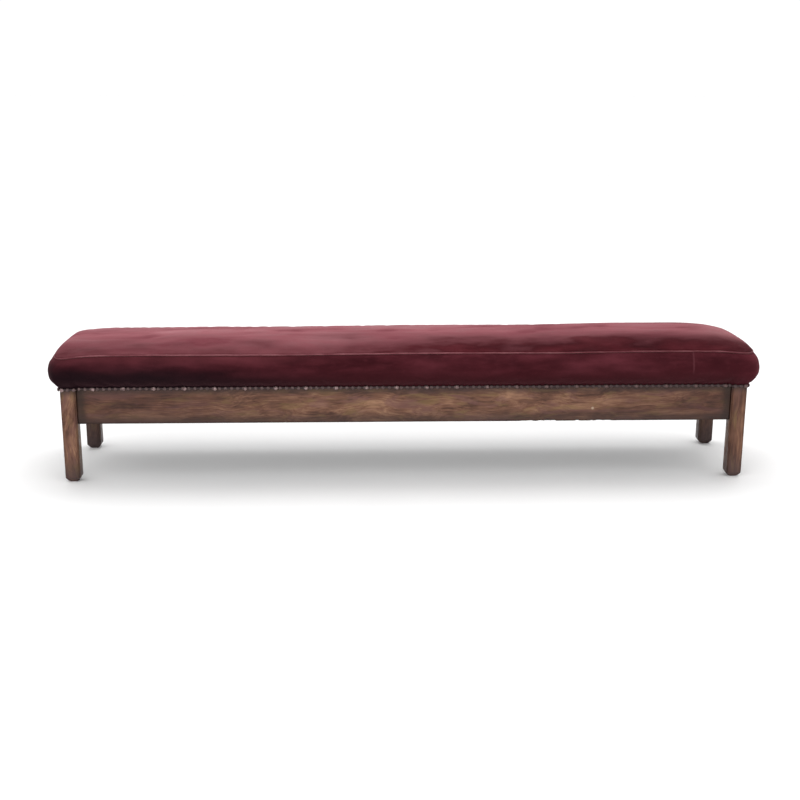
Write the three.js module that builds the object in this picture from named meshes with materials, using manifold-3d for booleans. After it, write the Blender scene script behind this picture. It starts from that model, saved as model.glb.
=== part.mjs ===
// A long backless hall bench: a mortised wooden frame on four square legs, with a stuffed
// and velvet-covered seat trimmed with a strip of nail heads. Millimetres, +Z up. The origin
// is on the floor under the middle of the bench, +X runs along it and -Y is the front.
import * as THREE from 'three';
import { mergeVertices } from 'three/addons/utils/BufferGeometryUtils.js';
import Module from 'manifold-3d';

const wasm = await Module();
wasm.setup();

// Wooden frame
const FRAME_LENGTH = 2280; // outside to outside of the legs
const FRAME_DEPTH = 420;
const FRAME_HEIGHT = 345; // floor to the top of legs and rails
const LEG = 50; // square section
const LEG_EDGE = 3; // chamfer on the upright edges
const FOOT_CHAMFER = 12;
const FOOT_CHAMFER_HEIGHT = 14;
const RAIL_HEIGHT = 145;
const RAIL_THICKNESS = 24;
const RAIL_SETBACK = 10; // rail face behind leg face
const RAIL_EDGE = 2; // chamfer on the long lower edges
const TENON_THICKNESS = 10;
const TENON_SHOULDER = 20; // above and below a tenon
const TENON_WALL = 20; // leg left beyond a long rail's tenon
const TENON_SPACING = 1.5; // between the two tenons inside a leg
const GAP = 0.3; // between pieces that touch
const CUT_PAST = 1; // run of a cutter past the face it opens

// Bearers across the frame, and the blocks screwed into its corners
const BEARERS = 3;
const BEARER_WIDTH = 40;
const BEARER_HEIGHT = 60;
const BEARER_DROP = 25; // below the top of the rails
const HOUSING_DEPTH = 8;
const BLOCK_ARM = 60; // along each rail, measured from the leg
const BLOCK_THICKNESS = 22;
const BLOCK_BEVEL = 24; // across the inside corner
const BLOCK_HEIGHT = 45;
const BLOCK_RISE = 45; // above the bottom of the rails
const SCREW_RADIUS = 2.2;
const SCREW_HEAD_RADIUS = 4.5;
const SCREW_HEAD_HEIGHT = 2.6;
const SCREW_SHOULDER_RADIUS = 3.6; // where the side of the head meets its top
const SCREW_SHOULDER_HEIGHT = 1.8;
const SCREW_BITE = 16; // into the rail
const SCREW_TIP = 4;
const SCREW_SIDES = 12;
const SCREW_FROM_END = 15; // along the block's arm

// Webbing, deck cloth and bottom cloth
const STRAP_WIDTH = 50;
const STRAP_THICKNESS = 2;
const LONG_STRAPS = 3;
const CROSS_STRAPS = 14;
const STRAP_MARGIN = 5; // strap end to the rail's outer face
const STRAP_LAP = 4; // flat run past each edge of a crossing strap
const DECK_THICKNESS = 1.5;
const DECK_MARGIN = 4;
const BOTTOM_CLOTH_THICKNESS = 1;
const BOTTOM_CLOTH_MARGIN = 8;

// Upholstery. Heights are from the top of the frame, outward sizes from the leg faces.
const COVER_THICKNESS = 2.7; // velvet with its wadding
const COVER_DROP = 33; // lower edge, down the rail
const TRIM_DROP = 24; // middle of the nail strip, down the rail
const COVER_CLEAR = 1; // flat run of the cover above the nail strip
const WIDEST_RISE = 40;
const WIDEST_OUT = 39;
const LOWER_SWELL = [[0.36, -5], [0.78, 13]]; // share of the swell reached, and its height
const UPPER_SWELL = 0.86; // share of the swell left midway from the widest line to the welt
const WELT_RISE = 95;
const WELT_OUT = 15;
const WELT_RADIUS = 2.8;
const BORDER_LIP = 2; // border's upper edge outside the middle of the welt
const SEAT_TUCK = 1.5; // seat's edge inside the middle of the welt
const SEAT_CLEAR = 1.2; // seat's edge above the welt
const CROWN = 26; // middle of the seat above its seamed edge
const CROWN_POWER = 2.4; // how quickly the seat levels off
const SEAT_SHARES = [0, 0.022, 0.06, 0.13, 0.24, 0.4, 0.6, 0.8, 1]; // of the run from edge to ridge
const RIDGE_HALF_WIDTH = 12;
const CORNER_SHARP = 2.5; // plan radius where the cover wraps a leg
const CORNER_SOFT = 28; // added to the plan radius higher up
const CORNER_SOFTENS = [-10, 60]; // between these heights
const CORNER_SHARE = 0.9; // of half the depth, the most that a plan radius may be
const STEP_RAMP = 7; // run of the cover from a leg face back to the rail face
const STEP_FADES = [-10, 15]; // heights between which that step dies away
const PAD_LIP = 1.5; // the pad's roll starts where it stands this far out of the leg faces
const PAD_STOP = 8.4; // and its side ends this far below the middle of the welt
const CAP_INSET = 40; // plain ring that closes the pad underneath
const ARC_STEPS = 5;
const WELT_SIDES = 8;
const COVER_STEPS = 10;

// Nail strip
const STRIP_HEIGHT = 15;
const STRIP_THICKNESS = 1;
const NAIL_PITCH = 100;
const NAIL_RADIUS = 6.5;
const NAIL_HEIGHT = 4;
const NAIL_SHOULDER_RADIUS = 3.9;
const NAIL_SHOULDER_HEIGHT = 3.2;
const NAIL_SIDES = 8;
const STRIP_END = 1; // short of the leg's corner

// Worked out from the sizes above
const HALF_LENGTH = FRAME_LENGTH / 2;
const HALF_DEPTH = FRAME_DEPTH / 2;
const LEG_X = HALF_LENGTH - LEG; // inner faces of the legs
const LEG_Y = HALF_DEPTH - LEG;
const RAIL_BOTTOM = FRAME_HEIGHT - RAIL_HEIGHT;
const RAIL_OUT_X = HALF_LENGTH - RAIL_SETBACK;
const RAIL_OUT_Y = HALF_DEPTH - RAIL_SETBACK;
const RAIL_IN_X = RAIL_OUT_X - RAIL_THICKNESS;
const RAIL_IN_Y = RAIL_OUT_Y - RAIL_THICKNESS;
const TENON_BOTTOM = RAIL_BOTTOM + TENON_SHOULDER;
const TENON_TOP = FRAME_HEIGHT - TENON_SHOULDER;
const LONG_TENON = LEG - TENON_WALL;
const TENON_NEAR_Y = (RAIL_OUT_Y + RAIL_IN_Y) / 2 - TENON_THICKNESS / 2;
const END_TENON = TENON_NEAR_Y - TENON_SPACING - LEG_Y;
const STRAP_LOW = FRAME_HEIGHT + GAP + STRAP_THICKNESS / 2;
const STRAP_HIGH = STRAP_LOW + STRAP_THICKNESS + GAP;
const DECK_BOTTOM = STRAP_HIGH + STRAP_THICKNESS / 2 + GAP;
const PAD_BOTTOM = DECK_BOTTOM + DECK_THICKNESS + GAP;
const WELT_Z = FRAME_HEIGHT + WELT_RISE;
const TRIM_Z = FRAME_HEIGHT - TRIM_DROP;

const finishes = {
  polishedWood: new THREE.MeshStandardMaterial({ color: 0x6b4b3c, roughness: 0.55, metalness: 0 }),
  plainWood: new THREE.MeshStandardMaterial({ color: 0xa58a63, roughness: 0.8, metalness: 0 }),
  steel: new THREE.MeshStandardMaterial({ color: 0x8c8a84, roughness: 0.4, metalness: 1 }),
  jute: new THREE.MeshStandardMaterial({ color: 0xa8895a, roughness: 0.95, metalness: 0 }),
  hessian: new THREE.MeshStandardMaterial({ color: 0x9a7c50, roughness: 0.95, metalness: 0 }),
  stuffing: new THREE.MeshStandardMaterial({ color: 0xb8a890, roughness: 1, metalness: 0 }),
  velvet: new THREE.MeshStandardMaterial({ color: 0x6e2f36, roughness: 0.85, metalness: 0 }),
  blackCloth: new THREE.MeshStandardMaterial({ color: 0x1c1b1c, roughness: 0.95, metalness: 0 }),
  brass: new THREE.MeshStandardMaterial({ color: 0x7d6a55, roughness: 0.45, metalness: 0.9 }),
};

// ---------------------------------------------------------------- solid helpers

function toSolid(geometry) {
  const plain = geometry.clone();
  for (const name of Object.keys(plain.attributes)) {
    if (name !== 'position') plain.deleteAttribute(name);
  }
  const merged = mergeVertices(plain, 1e-4);
  return new wasm.Manifold(new wasm.Mesh({
    numProp: 3,
    vertProperties: new Float32Array(merged.attributes.position.array),
    triVerts: new Uint32Array(merged.index.array),
  }));
}

function toGeometry(solid) {
  const { vertProperties, triVerts } = solid.getMesh();
  return meshGeometry(Array.from(vertProperties), Array.from(triVerts));
}

function meshGeometry(coordinates, triangles) {
  const geometry = new THREE.BufferGeometry();
  geometry.setAttribute('position', new THREE.Float32BufferAttribute(coordinates, 3));
  geometry.setIndex(triangles);
  geometry.computeVertexNormals();
  return geometry;
}

function cut(geometry, cutters) {
  return toGeometry(cutters.reduce((left, cutter) => left.subtract(toSolid(cutter)), toSolid(geometry)));
}

function join(geometries) {
  return toGeometry(geometries.map(toSolid).reduce((all, next) => all.add(next)));
}

function box([x0, x1], [y0, y1], [z0, z1]) {
  const geometry = new THREE.BoxGeometry(x1 - x0, y1 - y0, z1 - z0);
  return geometry.translate((x0 + x1) / 2, (y0 + y1) / 2, (z0 + z1) / 2);
}

function around(middle, half) {
  return [middle - half, middle + half];
}

function prism(outline, height) {
  const shape = new THREE.Shape(outline.map(([x, y]) => new THREE.Vector2(x, y)));
  return new THREE.ExtrudeGeometry(shape, { depth: height, bevelEnabled: false });
}

// A skin over closed rings of equal length, each anticlockwise seen from above. The last ring
// joins the first, or, with caps, the first ring closes underneath and the last one on top.
// Faces split along the same diagonal whether the skin rises or falls, so that two skins a
// constant distance apart stay apart.
function loft(rings, capped) {
  const size = rings[0].length;
  const triangles = [];
  const spans = capped ? rings.length - 1 : rings.length;
  for (let r = 0; r < spans; r += 1) {
    const low = r * size;
    const high = ((r + 1) % rings.length) * size;
    const rises = rings[(r + 1) % rings.length][0][2] >= rings[r][0][2];
    for (let i = 0; i < size; i += 1) {
      const next = (i + 1) % size;
      const [a, b, c, d] = [low + i, low + next, high + next, high + i];
      triangles.push(...(rises ? [a, b, c, a, c, d] : [a, b, d, b, c, d]));
    }
  }
  const last = (rings.length - 1) * size;
  for (let i = 1; capped && i < size - 1; i += 1) {
    triangles.push(0, i + 1, i, last, last + i, last + i + 1);
  }
  return meshGeometry(rings.flat(2), triangles);
}

function piece(name, geometry, finish, position = [0, 0, 0]) {
  const mesh = new THREE.Mesh(geometry, finish);
  mesh.name = name;
  mesh.position.set(...position);
  return mesh;
}

function evenly(count, half) {
  return Array.from({ length: count }, (_, i) => half * ((2 * (i + 1)) / (count + 1) - 1));
}

// ---------------------------------------------------------------- wooden frame

function squareRing(half, edge, z) {
  const inner = half - edge;
  const corners = [
    [half, -inner], [half, inner], [inner, half], [-inner, half],
    [-half, inner], [-half, -inner], [-inner, -half], [inner, -half],
  ];
  return corners.map(([x, y]) => [x, y, z]);
}

// side is +1 where the leg's inner corner is towards +X and +Y or towards -X and -Y.
function legGeometry(side) {
  const foot = LEG / 2 - FOOT_CHAMFER;
  const post = loft([
    squareRing(foot, LEG_EDGE, 0),
    squareRing(LEG / 2, LEG_EDGE, FOOT_CHAMFER_HEIGHT),
    squareRing(LEG / 2, LEG_EDGE, FRAME_HEIGHT),
  ], true);
  const railMiddle = RAIL_SETBACK + RAIL_THICKNESS / 2 - LEG / 2;
  const height = [TENON_BOTTOM - GAP, TENON_TOP + GAP];
  const cheek = TENON_THICKNESS / 2 + GAP;
  const longMortise = box([LEG / 2 - LONG_TENON - GAP, LEG / 2 + CUT_PAST], around(railMiddle, cheek), height);
  const endMortise = box(around(railMiddle, cheek), [LEG / 2 - END_TENON - GAP, LEG / 2 + CUT_PAST], height);
  if (side < 0) {
    longMortise.rotateZ(Math.PI);
    longMortise.translate(0, 2 * railMiddle, 0);
    endMortise.translate(-2 * railMiddle, 0, 0);
  }
  return cut(post, [longMortise, endMortise]);
}

function legs() {
  const group = new THREE.Group();
  for (const [endName, sx] of [['left', -1], ['right', 1]]) {
    for (const [faceName, sy] of [['front', -1], ['rear', 1]]) {
      const place = [sx * (HALF_LENGTH - LEG / 2), sy * (HALF_DEPTH - LEG / 2), 0];
      const leg = piece(`leg_${faceName}_${endName}`, legGeometry(sx * sy), finishes.polishedWood, place);
      leg.rotation.z = sy > 0 ? Math.PI : 0;
      group.add(leg);
    }
  }
  return group;
}

// A rail along X with its outer face towards -Y at y = 0, its ends at the legs and its tenons.
function railGeometry(halfSpan, tenon) {
  const profile = [
    [0, RAIL_BOTTOM + RAIL_EDGE], [RAIL_EDGE, RAIL_BOTTOM],
    [RAIL_THICKNESS - RAIL_EDGE, RAIL_BOTTOM], [RAIL_THICKNESS, RAIL_BOTTOM + RAIL_EDGE],
    [RAIL_THICKNESS, FRAME_HEIGHT], [0, FRAME_HEIGHT],
  ];
  const length = 2 * (halfSpan - GAP);
  const board = prism(profile, length);
  board.applyMatrix4(new THREE.Matrix4().set(
    0, 0, 1, -length / 2,
    1, 0, 0, 0,
    0, 1, 0, 0,
    0, 0, 0, 1,
  ));
  const tongue = box(
    around(0, halfSpan + tenon),
    around(RAIL_THICKNESS / 2, TENON_THICKNESS / 2),
    [TENON_BOTTOM, TENON_TOP],
  );
  return join([board, tongue]);
}

const HOLE_LENGTH = BLOCK_THICKNESS + 2 * SCREW_BITE;
const HOLE_OFFSET = HOLE_LENGTH / 2 - SCREW_BITE - GAP; // its middle inside a rail's inner face

function screwHole(position, direction) {
  const radius = (SCREW_RADIUS + GAP) / Math.cos(Math.PI / SCREW_SIDES);
  const hole = new THREE.CylinderGeometry(radius, radius, HOLE_LENGTH, SCREW_SIDES);
  hole.applyQuaternion(new THREE.Quaternion().setFromUnitVectors(new THREE.Vector3(0, 1, 0), direction));
  return hole.translate(...position);
}

const SCREW_Z = RAIL_BOTTOM + BLOCK_RISE + BLOCK_HEIGHT / 2;
const LONG_SCREW_X = LEG_X - BLOCK_ARM + SCREW_FROM_END;
const END_SCREW_Y = LEG_Y - BLOCK_ARM + SCREW_FROM_END;

function longRailGeometry() {
  const bearerHoles = evenly(BEARERS, LEG_X).map((x) => box(
    around(x, BEARER_WIDTH / 2 + GAP),
    [RAIL_THICKNESS - HOUSING_DEPTH - GAP, RAIL_THICKNESS + CUT_PAST],
    [FRAME_HEIGHT - BEARER_DROP - BEARER_HEIGHT - GAP, FRAME_HEIGHT - BEARER_DROP + GAP],
  ));
  const inward = new THREE.Vector3(0, 1, 0);
  const screwHoles = [-1, 1].map((side) => screwHole(
    [side * LONG_SCREW_X, RAIL_THICKNESS + HOLE_OFFSET, SCREW_Z], inward));
  return cut(railGeometry(LEG_X, LONG_TENON), [...bearerHoles, ...screwHoles]);
}

function endRailGeometry() {
  const inward = new THREE.Vector3(0, 1, 0);
  const screwHoles = [-1, 1].map((side) => screwHole(
    [side * END_SCREW_Y, RAIL_THICKNESS + HOLE_OFFSET, SCREW_Z], inward));
  return cut(railGeometry(LEG_Y, END_TENON), screwHoles);
}

function rails() {
  const group = new THREE.Group();
  const places = [
    ['front_rail', longRailGeometry(), [0, -RAIL_OUT_Y, 0], 0],
    ['rear_rail', longRailGeometry(), [0, RAIL_OUT_Y, 0], Math.PI],
    ['left_end_rail', endRailGeometry(), [-RAIL_OUT_X, 0, 0], -Math.PI / 2],
    ['right_end_rail', endRailGeometry(), [RAIL_OUT_X, 0, 0], Math.PI / 2],
  ];
  for (const [name, geometry, place, turn] of places) {
    const rail = piece(name, geometry, finishes.polishedWood, place);
    rail.rotation.z = turn;
    group.add(rail);
  }
  return group;
}

function bearers() {
  const group = new THREE.Group();
  const names = ['left', 'middle', 'right'];
  const reach = RAIL_IN_Y + HOUSING_DEPTH;
  evenly(BEARERS, LEG_X).forEach((x, i) => {
    const bar = new THREE.BoxGeometry(BEARER_WIDTH, 2 * reach, BEARER_HEIGHT);
    const z = FRAME_HEIGHT - BEARER_DROP - BEARER_HEIGHT / 2;
    group.add(piece(`cross_bearer_${names[i]}`, bar, finishes.plainWood, [x, 0, z]));
  });
  return group;
}

// The block fills the corner behind a leg: one arm along the long rail, one along the end rail.
function blockOutline() {
  const railX = RAIL_IN_X - GAP;
  const railY = RAIL_IN_Y - GAP;
  const legX = LEG_X - GAP;
  const legY = LEG_Y - GAP;
  const armX = railX - BLOCK_THICKNESS;
  const armY = railY - BLOCK_THICKNESS;
  return [
    [LEG_X - BLOCK_ARM, railY], [legX, railY], [legX, legY], [railX, legY],
    [railX, LEG_Y - BLOCK_ARM], [armX, LEG_Y - BLOCK_ARM], [armX, armY - BLOCK_BEVEL],
    [armX - BLOCK_BEVEL, armY], [LEG_X - BLOCK_ARM, armY],
  ];
}

function blockGeometry() {
  const block = prism(blockOutline(), BLOCK_HEIGHT);
  block.translate(0, 0, RAIL_BOTTOM + BLOCK_RISE);
  return cut(block, [
    screwHole([LONG_SCREW_X, RAIL_IN_Y, SCREW_Z], new THREE.Vector3(0, 1, 0)),
    screwHole([RAIL_IN_X, END_SCREW_Y, SCREW_Z], new THREE.Vector3(1, 0, 0)),
  ]);
}

// A pan-head wood screw along +Y, with the underside of its head at y = 0.
function screwGeometry() {
  const length = GAP + BLOCK_THICKNESS + GAP + SCREW_BITE;
  const profile = [
    [0, length], [SCREW_RADIUS, length - SCREW_TIP], [SCREW_RADIUS, 0], [SCREW_HEAD_RADIUS, 0],
    [SCREW_SHOULDER_RADIUS, -SCREW_SHOULDER_HEIGHT], [0, -SCREW_HEAD_HEIGHT],
  ];
  const points = profile.reverse().map(([r, y]) => new THREE.Vector2(r, y));
  return new THREE.LatheGeometry(points, SCREW_SIDES);
}

function cornerBlocks() {
  const group = new THREE.Group();
  const headX = RAIL_IN_X - BLOCK_THICKNESS - 2 * GAP;
  const headY = RAIL_IN_Y - BLOCK_THICKNESS - 2 * GAP;
  for (const [endName, sx] of [['left', -1], ['right', 1]]) {
    for (const [faceName, sy] of [['front', -1], ['rear', 1]]) {
      const corner = `${faceName}_${endName}`;
      const mirrored = sx * sy < 0;
      const block = mirrored ? mirrorX(blockGeometry()) : blockGeometry();
      const blockMesh = piece(`corner_block_${corner}`, block, finishes.plainWood);
      blockMesh.rotation.z = sy < 0 ? Math.PI : 0;
      const longScrew = piece(`block_screw_long_${corner}`, screwGeometry(), finishes.steel,
        [sx * LONG_SCREW_X, sy * headY, SCREW_Z]);
      longScrew.rotation.z = sy > 0 ? 0 : Math.PI;
      const endScrew = piece(`block_screw_end_${corner}`, screwGeometry(), finishes.steel,
        [sx * headX, sy * END_SCREW_Y, SCREW_Z]);
      endScrew.rotation.z = -sx * Math.PI / 2;
      group.add(blockMesh, longScrew, endScrew);
    }
  }
  return group;
}

function mirrorX(geometry) {
  const { array } = geometry.attributes.position;
  const mirrored = Array.from(array, (value, i) => (i % 3 === 0 ? -value : value));
  const turned = Array.from(geometry.index.array);
  for (let i = 0; i < turned.length; i += 3) {
    [turned[i + 1], turned[i + 2]] = [turned[i + 2], turned[i + 1]];
  }
  return meshGeometry(mirrored, turned);
}

// ---------------------------------------------------------------- webbing and cloths

// A strap seen from its edge: level over or under each strap it crosses, with easy slopes
// between, and level on the rails at both ends.
function strapGeometry(halfRun, crossings) {
  const reach = STRAP_WIDTH / 2 + STRAP_LAP;
  const line = [[-halfRun, STRAP_LOW]];
  for (const { at, level } of crossings) {
    line.push([at - reach, level], [at + reach, level]);
  }
  line.push([halfRun, STRAP_LOW]);
  const half = STRAP_THICKNESS / 2;
  const lower = line.map(([s, z]) => [s, z - half]);
  const upper = line.map(([s, z]) => [s, z + half]).reverse();
  const strap = prism([...lower, ...upper], STRAP_WIDTH);
  strap.translate(0, 0, -STRAP_WIDTH / 2);
  return strap.rotateX(Math.PI / 2);
}

function webbing() {
  const group = new THREE.Group();
  const longPlaces = evenly(LONG_STRAPS, RAIL_IN_Y);
  const crossPlaces = evenly(CROSS_STRAPS, RAIL_IN_X);
  const isLongOver = (i, j) => (i + j) % 2 === 0;
  longPlaces.forEach((y, i) => {
    const crossings = crossPlaces.map((at, j) => ({ at, level: isLongOver(i, j) ? STRAP_HIGH : STRAP_LOW }));
    const strap = strapGeometry(RAIL_OUT_X - STRAP_MARGIN, crossings);
    group.add(piece(`webbing_long_${i + 1}`, strap, finishes.jute, [0, y, 0]));
  });
  crossPlaces.forEach((x, j) => {
    const crossings = longPlaces.map((at, i) => ({ at, level: isLongOver(i, j) ? STRAP_LOW : STRAP_HIGH }));
    const strap = strapGeometry(RAIL_OUT_Y - STRAP_MARGIN, crossings);
    const mesh = piece(`webbing_cross_${String(j + 1).padStart(2, '0')}`, strap, finishes.jute, [x, 0, 0]);
    mesh.rotation.z = Math.PI / 2;
    group.add(mesh);
  });
  return group;
}

function deckCloth() {
  const halfX = RAIL_OUT_X - DECK_MARGIN;
  const halfY = RAIL_OUT_Y - DECK_MARGIN;
  const cloth = box([-halfX, halfX], [-halfY, halfY], [0, DECK_THICKNESS]);
  return piece('hessian_deck', cloth, finishes.hessian, [0, 0, DECK_BOTTOM]);
}

// Tacked under the rails and notched round the legs.
function bottomCloth() {
  const x = RAIL_OUT_X - BOTTOM_CLOTH_MARGIN;
  const y = RAIL_OUT_Y - BOTTOM_CLOTH_MARGIN;
  const legX = LEG_X - GAP;
  const legY = LEG_Y - GAP;
  const outline = [
    [x, -legY], [x, legY], [legX, legY], [legX, y], [-legX, y], [-legX, legY],
    [-x, legY], [-x, -legY], [-legX, -legY], [-legX, -y], [legX, -y], [legX, -legY],
  ];
  const cloth = prism(outline, BOTTOM_CLOTH_THICKNESS);
  return piece('bottom_cloth', cloth, finishes.blackCloth, [0, 0, RAIL_BOTTOM - GAP - BOTTOM_CLOTH_THICKNESS]);
}

// ---------------------------------------------------------------- upholstery

// How much of the softening above the frame has been reached at this height, 0 to 1.
function softening(z, [from, to]) {
  return THREE.MathUtils.smoothstep(z, FRAME_HEIGHT + from, FRAME_HEIGHT + to);
}

// One level outline of the upholstery: out is its distance outside the leg faces, negative
// inwards, and back is how far it steps in between the legs.
function outlineRing(out, z, back = 0) {
  const hx = HALF_LENGTH + out;
  const hy = HALF_DEPTH + out;
  const soft = CORNER_SOFT * softening(z, CORNER_SOFTENS);
  const radius = Math.min(Math.max(CORNER_SHARP + out, CORNER_SHARP) + soft, CORNER_SHARE * hy);
  const fitX = Math.min(1, (hx - radius) / LEG_X);
  const fitY = Math.min(1, (hy - radius) / LEG_Y);
  const legX = (LEG_X - GAP) * fitX;
  const legY = (LEG_Y - GAP) * fitY;
  const railX = legX - STEP_RAMP * fitX;
  const railY = legY - STEP_RAMP * fitY;
  const corner = (sx, sy, start) => Array.from({ length: ARC_STEPS + 1 }, (_, i) => {
    const angle = start + (i / ARC_STEPS) * (Math.PI / 2);
    return [sx * (hx - radius) + radius * Math.cos(angle), sy * (hy - radius) + radius * Math.sin(angle)];
  });
  const outline = [
    [hx, -legY], [hx - back, -railY], [hx - back, railY], [hx, legY],
    ...corner(1, 1, 0),
    [legX, hy], [railX, hy - back], [-railX, hy - back], [-legX, hy],
    ...corner(-1, 1, Math.PI / 2),
    [-hx, legY], [-hx + back, railY], [-hx + back, -railY], [-hx, -legY],
    ...corner(-1, -1, Math.PI),
    [-legX, -hy], [-railX, -hy + back], [railX, -hy + back], [legX, -hy],
    ...corner(1, -1, 1.5 * Math.PI),
  ];
  return outline.map(([x, y]) => [x, y, z]);
}

function stepBack(z) {
  return RAIL_SETBACK * (1 - softening(z, STEP_FADES));
}

function ringsOf(profile) {
  return profile.map(([out, z]) => outlineRing(out, z, stepBack(z)));
}

// Moves each point of a profile inwards, at a right angle to the profile.
function inside(profile, distance) {
  return profile.map(([out, z], i) => {
    const [outA, zA] = profile[Math.max(i - 1, 0)];
    const [outB, zB] = profile[Math.min(i + 1, profile.length - 1)];
    const length = Math.hypot(outB - outA, zB - zA);
    return [out - ((zB - zA) / length) * distance, z + ((outB - outA) / length) * distance];
  });
}

// Outer face of the border: flat behind the nail strip, swelling, then in to the welt.
function borderProfile() {
  const tuck = COVER_THICKNESS + GAP;
  const swell = WIDEST_OUT - tuck;
  const top = WELT_RISE - WELT_RADIUS - GAP;
  const curve = new THREE.SplineCurve([
    new THREE.Vector2(tuck, TRIM_Z + STRIP_HEIGHT / 2 + COVER_CLEAR),
    ...LOWER_SWELL.map(([share, rise]) => new THREE.Vector2(tuck + share * swell, FRAME_HEIGHT + rise)),
    new THREE.Vector2(WIDEST_OUT, FRAME_HEIGHT + WIDEST_RISE),
    new THREE.Vector2(tuck + UPPER_SWELL * swell, FRAME_HEIGHT + (WIDEST_RISE + top) / 2),
    new THREE.Vector2(WELT_OUT + BORDER_LIP, FRAME_HEIGHT + top),
  ]);
  const swelling = curve.getPoints(COVER_STEPS).map(({ x, y }) => [Math.max(x, tuck), y]);
  return [[tuck, FRAME_HEIGHT - COVER_DROP], ...swelling];
}

// Upper face of the seat panel, from the welt in to the ridge along its middle.
function seatProfile() {
  const start = WELT_OUT - SEAT_TUCK;
  const rim = WELT_Z + WELT_RADIUS + SEAT_CLEAR;
  const run = HALF_DEPTH + start - RIDGE_HALF_WIDTH;
  return SEAT_SHARES.map((share) => {
    const rise = CROWN * (1 - (1 - share) ** CROWN_POWER);
    return [start - share * run, rim + rise];
  });
}

function velvetBorder() {
  const outer = borderProfile();
  const inner = inside(outer, COVER_THICKNESS).reverse();
  return piece('velvet_border', loft(ringsOf([...outer, ...inner]), false), finishes.velvet);
}

function velvetSeat() {
  const upper = seatProfile();
  const lower = inside(upper, COVER_THICKNESS).reverse();
  return piece('velvet_seat', loft(ringsOf([...lower, ...upper]), true), finishes.velvet);
}

function welt() {
  const section = Array.from({ length: WELT_SIDES }, (_, i) => {
    const angle = (i / WELT_SIDES) * 2 * Math.PI;
    return [WELT_OUT + WELT_RADIUS * Math.cos(angle), WELT_Z + WELT_RADIUS * Math.sin(angle)];
  });
  return piece('welt', loft(ringsOf(section), false), finishes.velvet);
}

// The stuffing fills the cover: it lies on the deck cloth and rolls down over the frame's edge.
function stuffing() {
  const clear = COVER_THICKNESS + GAP;
  const side = inside(borderProfile(), clear)
    .filter(([out, z]) => out > PAD_LIP && z < WELT_Z - PAD_STOP);
  const top = inside(seatProfile(), clear).slice(1);
  const lipZ = side[0][1];
  const rings = [
    outlineRing(-CAP_INSET, PAD_BOTTOM),
    outlineRing(GAP, PAD_BOTTOM, RAIL_SETBACK),
    outlineRing(GAP, FRAME_HEIGHT, RAIL_SETBACK),
    outlineRing(GAP, lipZ, RAIL_SETBACK),
    ...ringsOf(side),
    ...ringsOf(top),
  ];
  return piece('stuffing', loft(rings, true), finishes.stuffing);
}

// ---------------------------------------------------------------- nail strips

// A nail strip along X for one side of the bench, its back towards +Y. It follows the leg
// faces and steps back on the rail between them.
function stripGeometry(halfRun, legInner) {
  const railEnd = legInner - GAP - STEP_RAMP;
  const legEnd = legInner - GAP;
  const back = [
    [-halfRun, 0], [-legEnd, 0], [-railEnd, RAIL_SETBACK],
    [railEnd, RAIL_SETBACK], [legEnd, 0], [halfRun, 0],
  ];
  const front = back.map(([x, y]) => [x, y - STRIP_THICKNESS]).reverse();
  const band = prism([...back, ...front], STRIP_HEIGHT);
  band.translate(0, 0, -STRIP_HEIGHT / 2);
  const heads = nailPlaces(halfRun, railEnd, legEnd).map((x) => {
    const depth = Math.abs(x) > railEnd ? 0 : RAIL_SETBACK;
    return nailHead().translate(x, depth - STRIP_THICKNESS, 0);
  });
  return join([band, ...heads]);
}

// Nails go on from the strip's first end at their pitch, with one at its last end, and none
// on the slope between leg and rail.
function nailPlaces(halfRun, railEnd, legEnd) {
  const end = halfRun - NAIL_RADIUS;
  const places = [end];
  for (let x = -end; x < end - 2 * NAIL_RADIUS; x += NAIL_PITCH) places.push(x);
  return places.map((x) => {
    const size = Math.abs(x);
    const onSlope = size > railEnd - NAIL_RADIUS && size < legEnd + NAIL_RADIUS;
    const isNearRail = size < (railEnd + legEnd) / 2;
    const clear = isNearRail ? railEnd - NAIL_RADIUS : legEnd + NAIL_RADIUS;
    return onSlope ? Math.sign(x) * clear : x;
  });
}

// A domed head towards -Y, sunk a little into the strip so that the two join.
function nailHead() {
  const sink = STRIP_THICKNESS / 2;
  const profile = [
    [0, NAIL_HEIGHT], [NAIL_SHOULDER_RADIUS, NAIL_SHOULDER_HEIGHT], [NAIL_RADIUS, 0],
    [NAIL_RADIUS, -sink], [0, -sink],
  ];
  const points = profile.reverse().map(([r, y]) => new THREE.Vector2(r, y));
  return new THREE.LatheGeometry(points, NAIL_SIDES).rotateZ(Math.PI);
}

function nailStrips() {
  const group = new THREE.Group();
  const face = COVER_THICKNESS + 2 * GAP;
  const alongX = () => stripGeometry(HALF_LENGTH - STRIP_END, LEG_X);
  const alongY = () => stripGeometry(HALF_DEPTH - STRIP_END, LEG_Y);
  const places = [
    ['front', alongX(), [0, -HALF_DEPTH - face, TRIM_Z], 0],
    ['rear', alongX(), [0, HALF_DEPTH + face, TRIM_Z], Math.PI],
    ['left', alongY(), [-HALF_LENGTH - face, 0, TRIM_Z], -Math.PI / 2],
    ['right', alongY(), [HALF_LENGTH + face, 0, TRIM_Z], Math.PI / 2],
  ];
  for (const [name, geometry, place, turn] of places) {
    const strip = piece(`nail_strip_${name}`, geometry, finishes.brass, place);
    strip.rotation.z = turn;
    group.add(strip);
  }
  return group;
}

// ---------------------------------------------------------------- the bench

const bench = new THREE.Group();
bench.add(legs(), rails(), bearers(), cornerBlocks());
bench.add(webbing(), deckCloth(), bottomCloth());
bench.add(stuffing(), velvetBorder(), velvetSeat(), welt());
bench.add(nailStrips());

export default bench;
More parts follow.
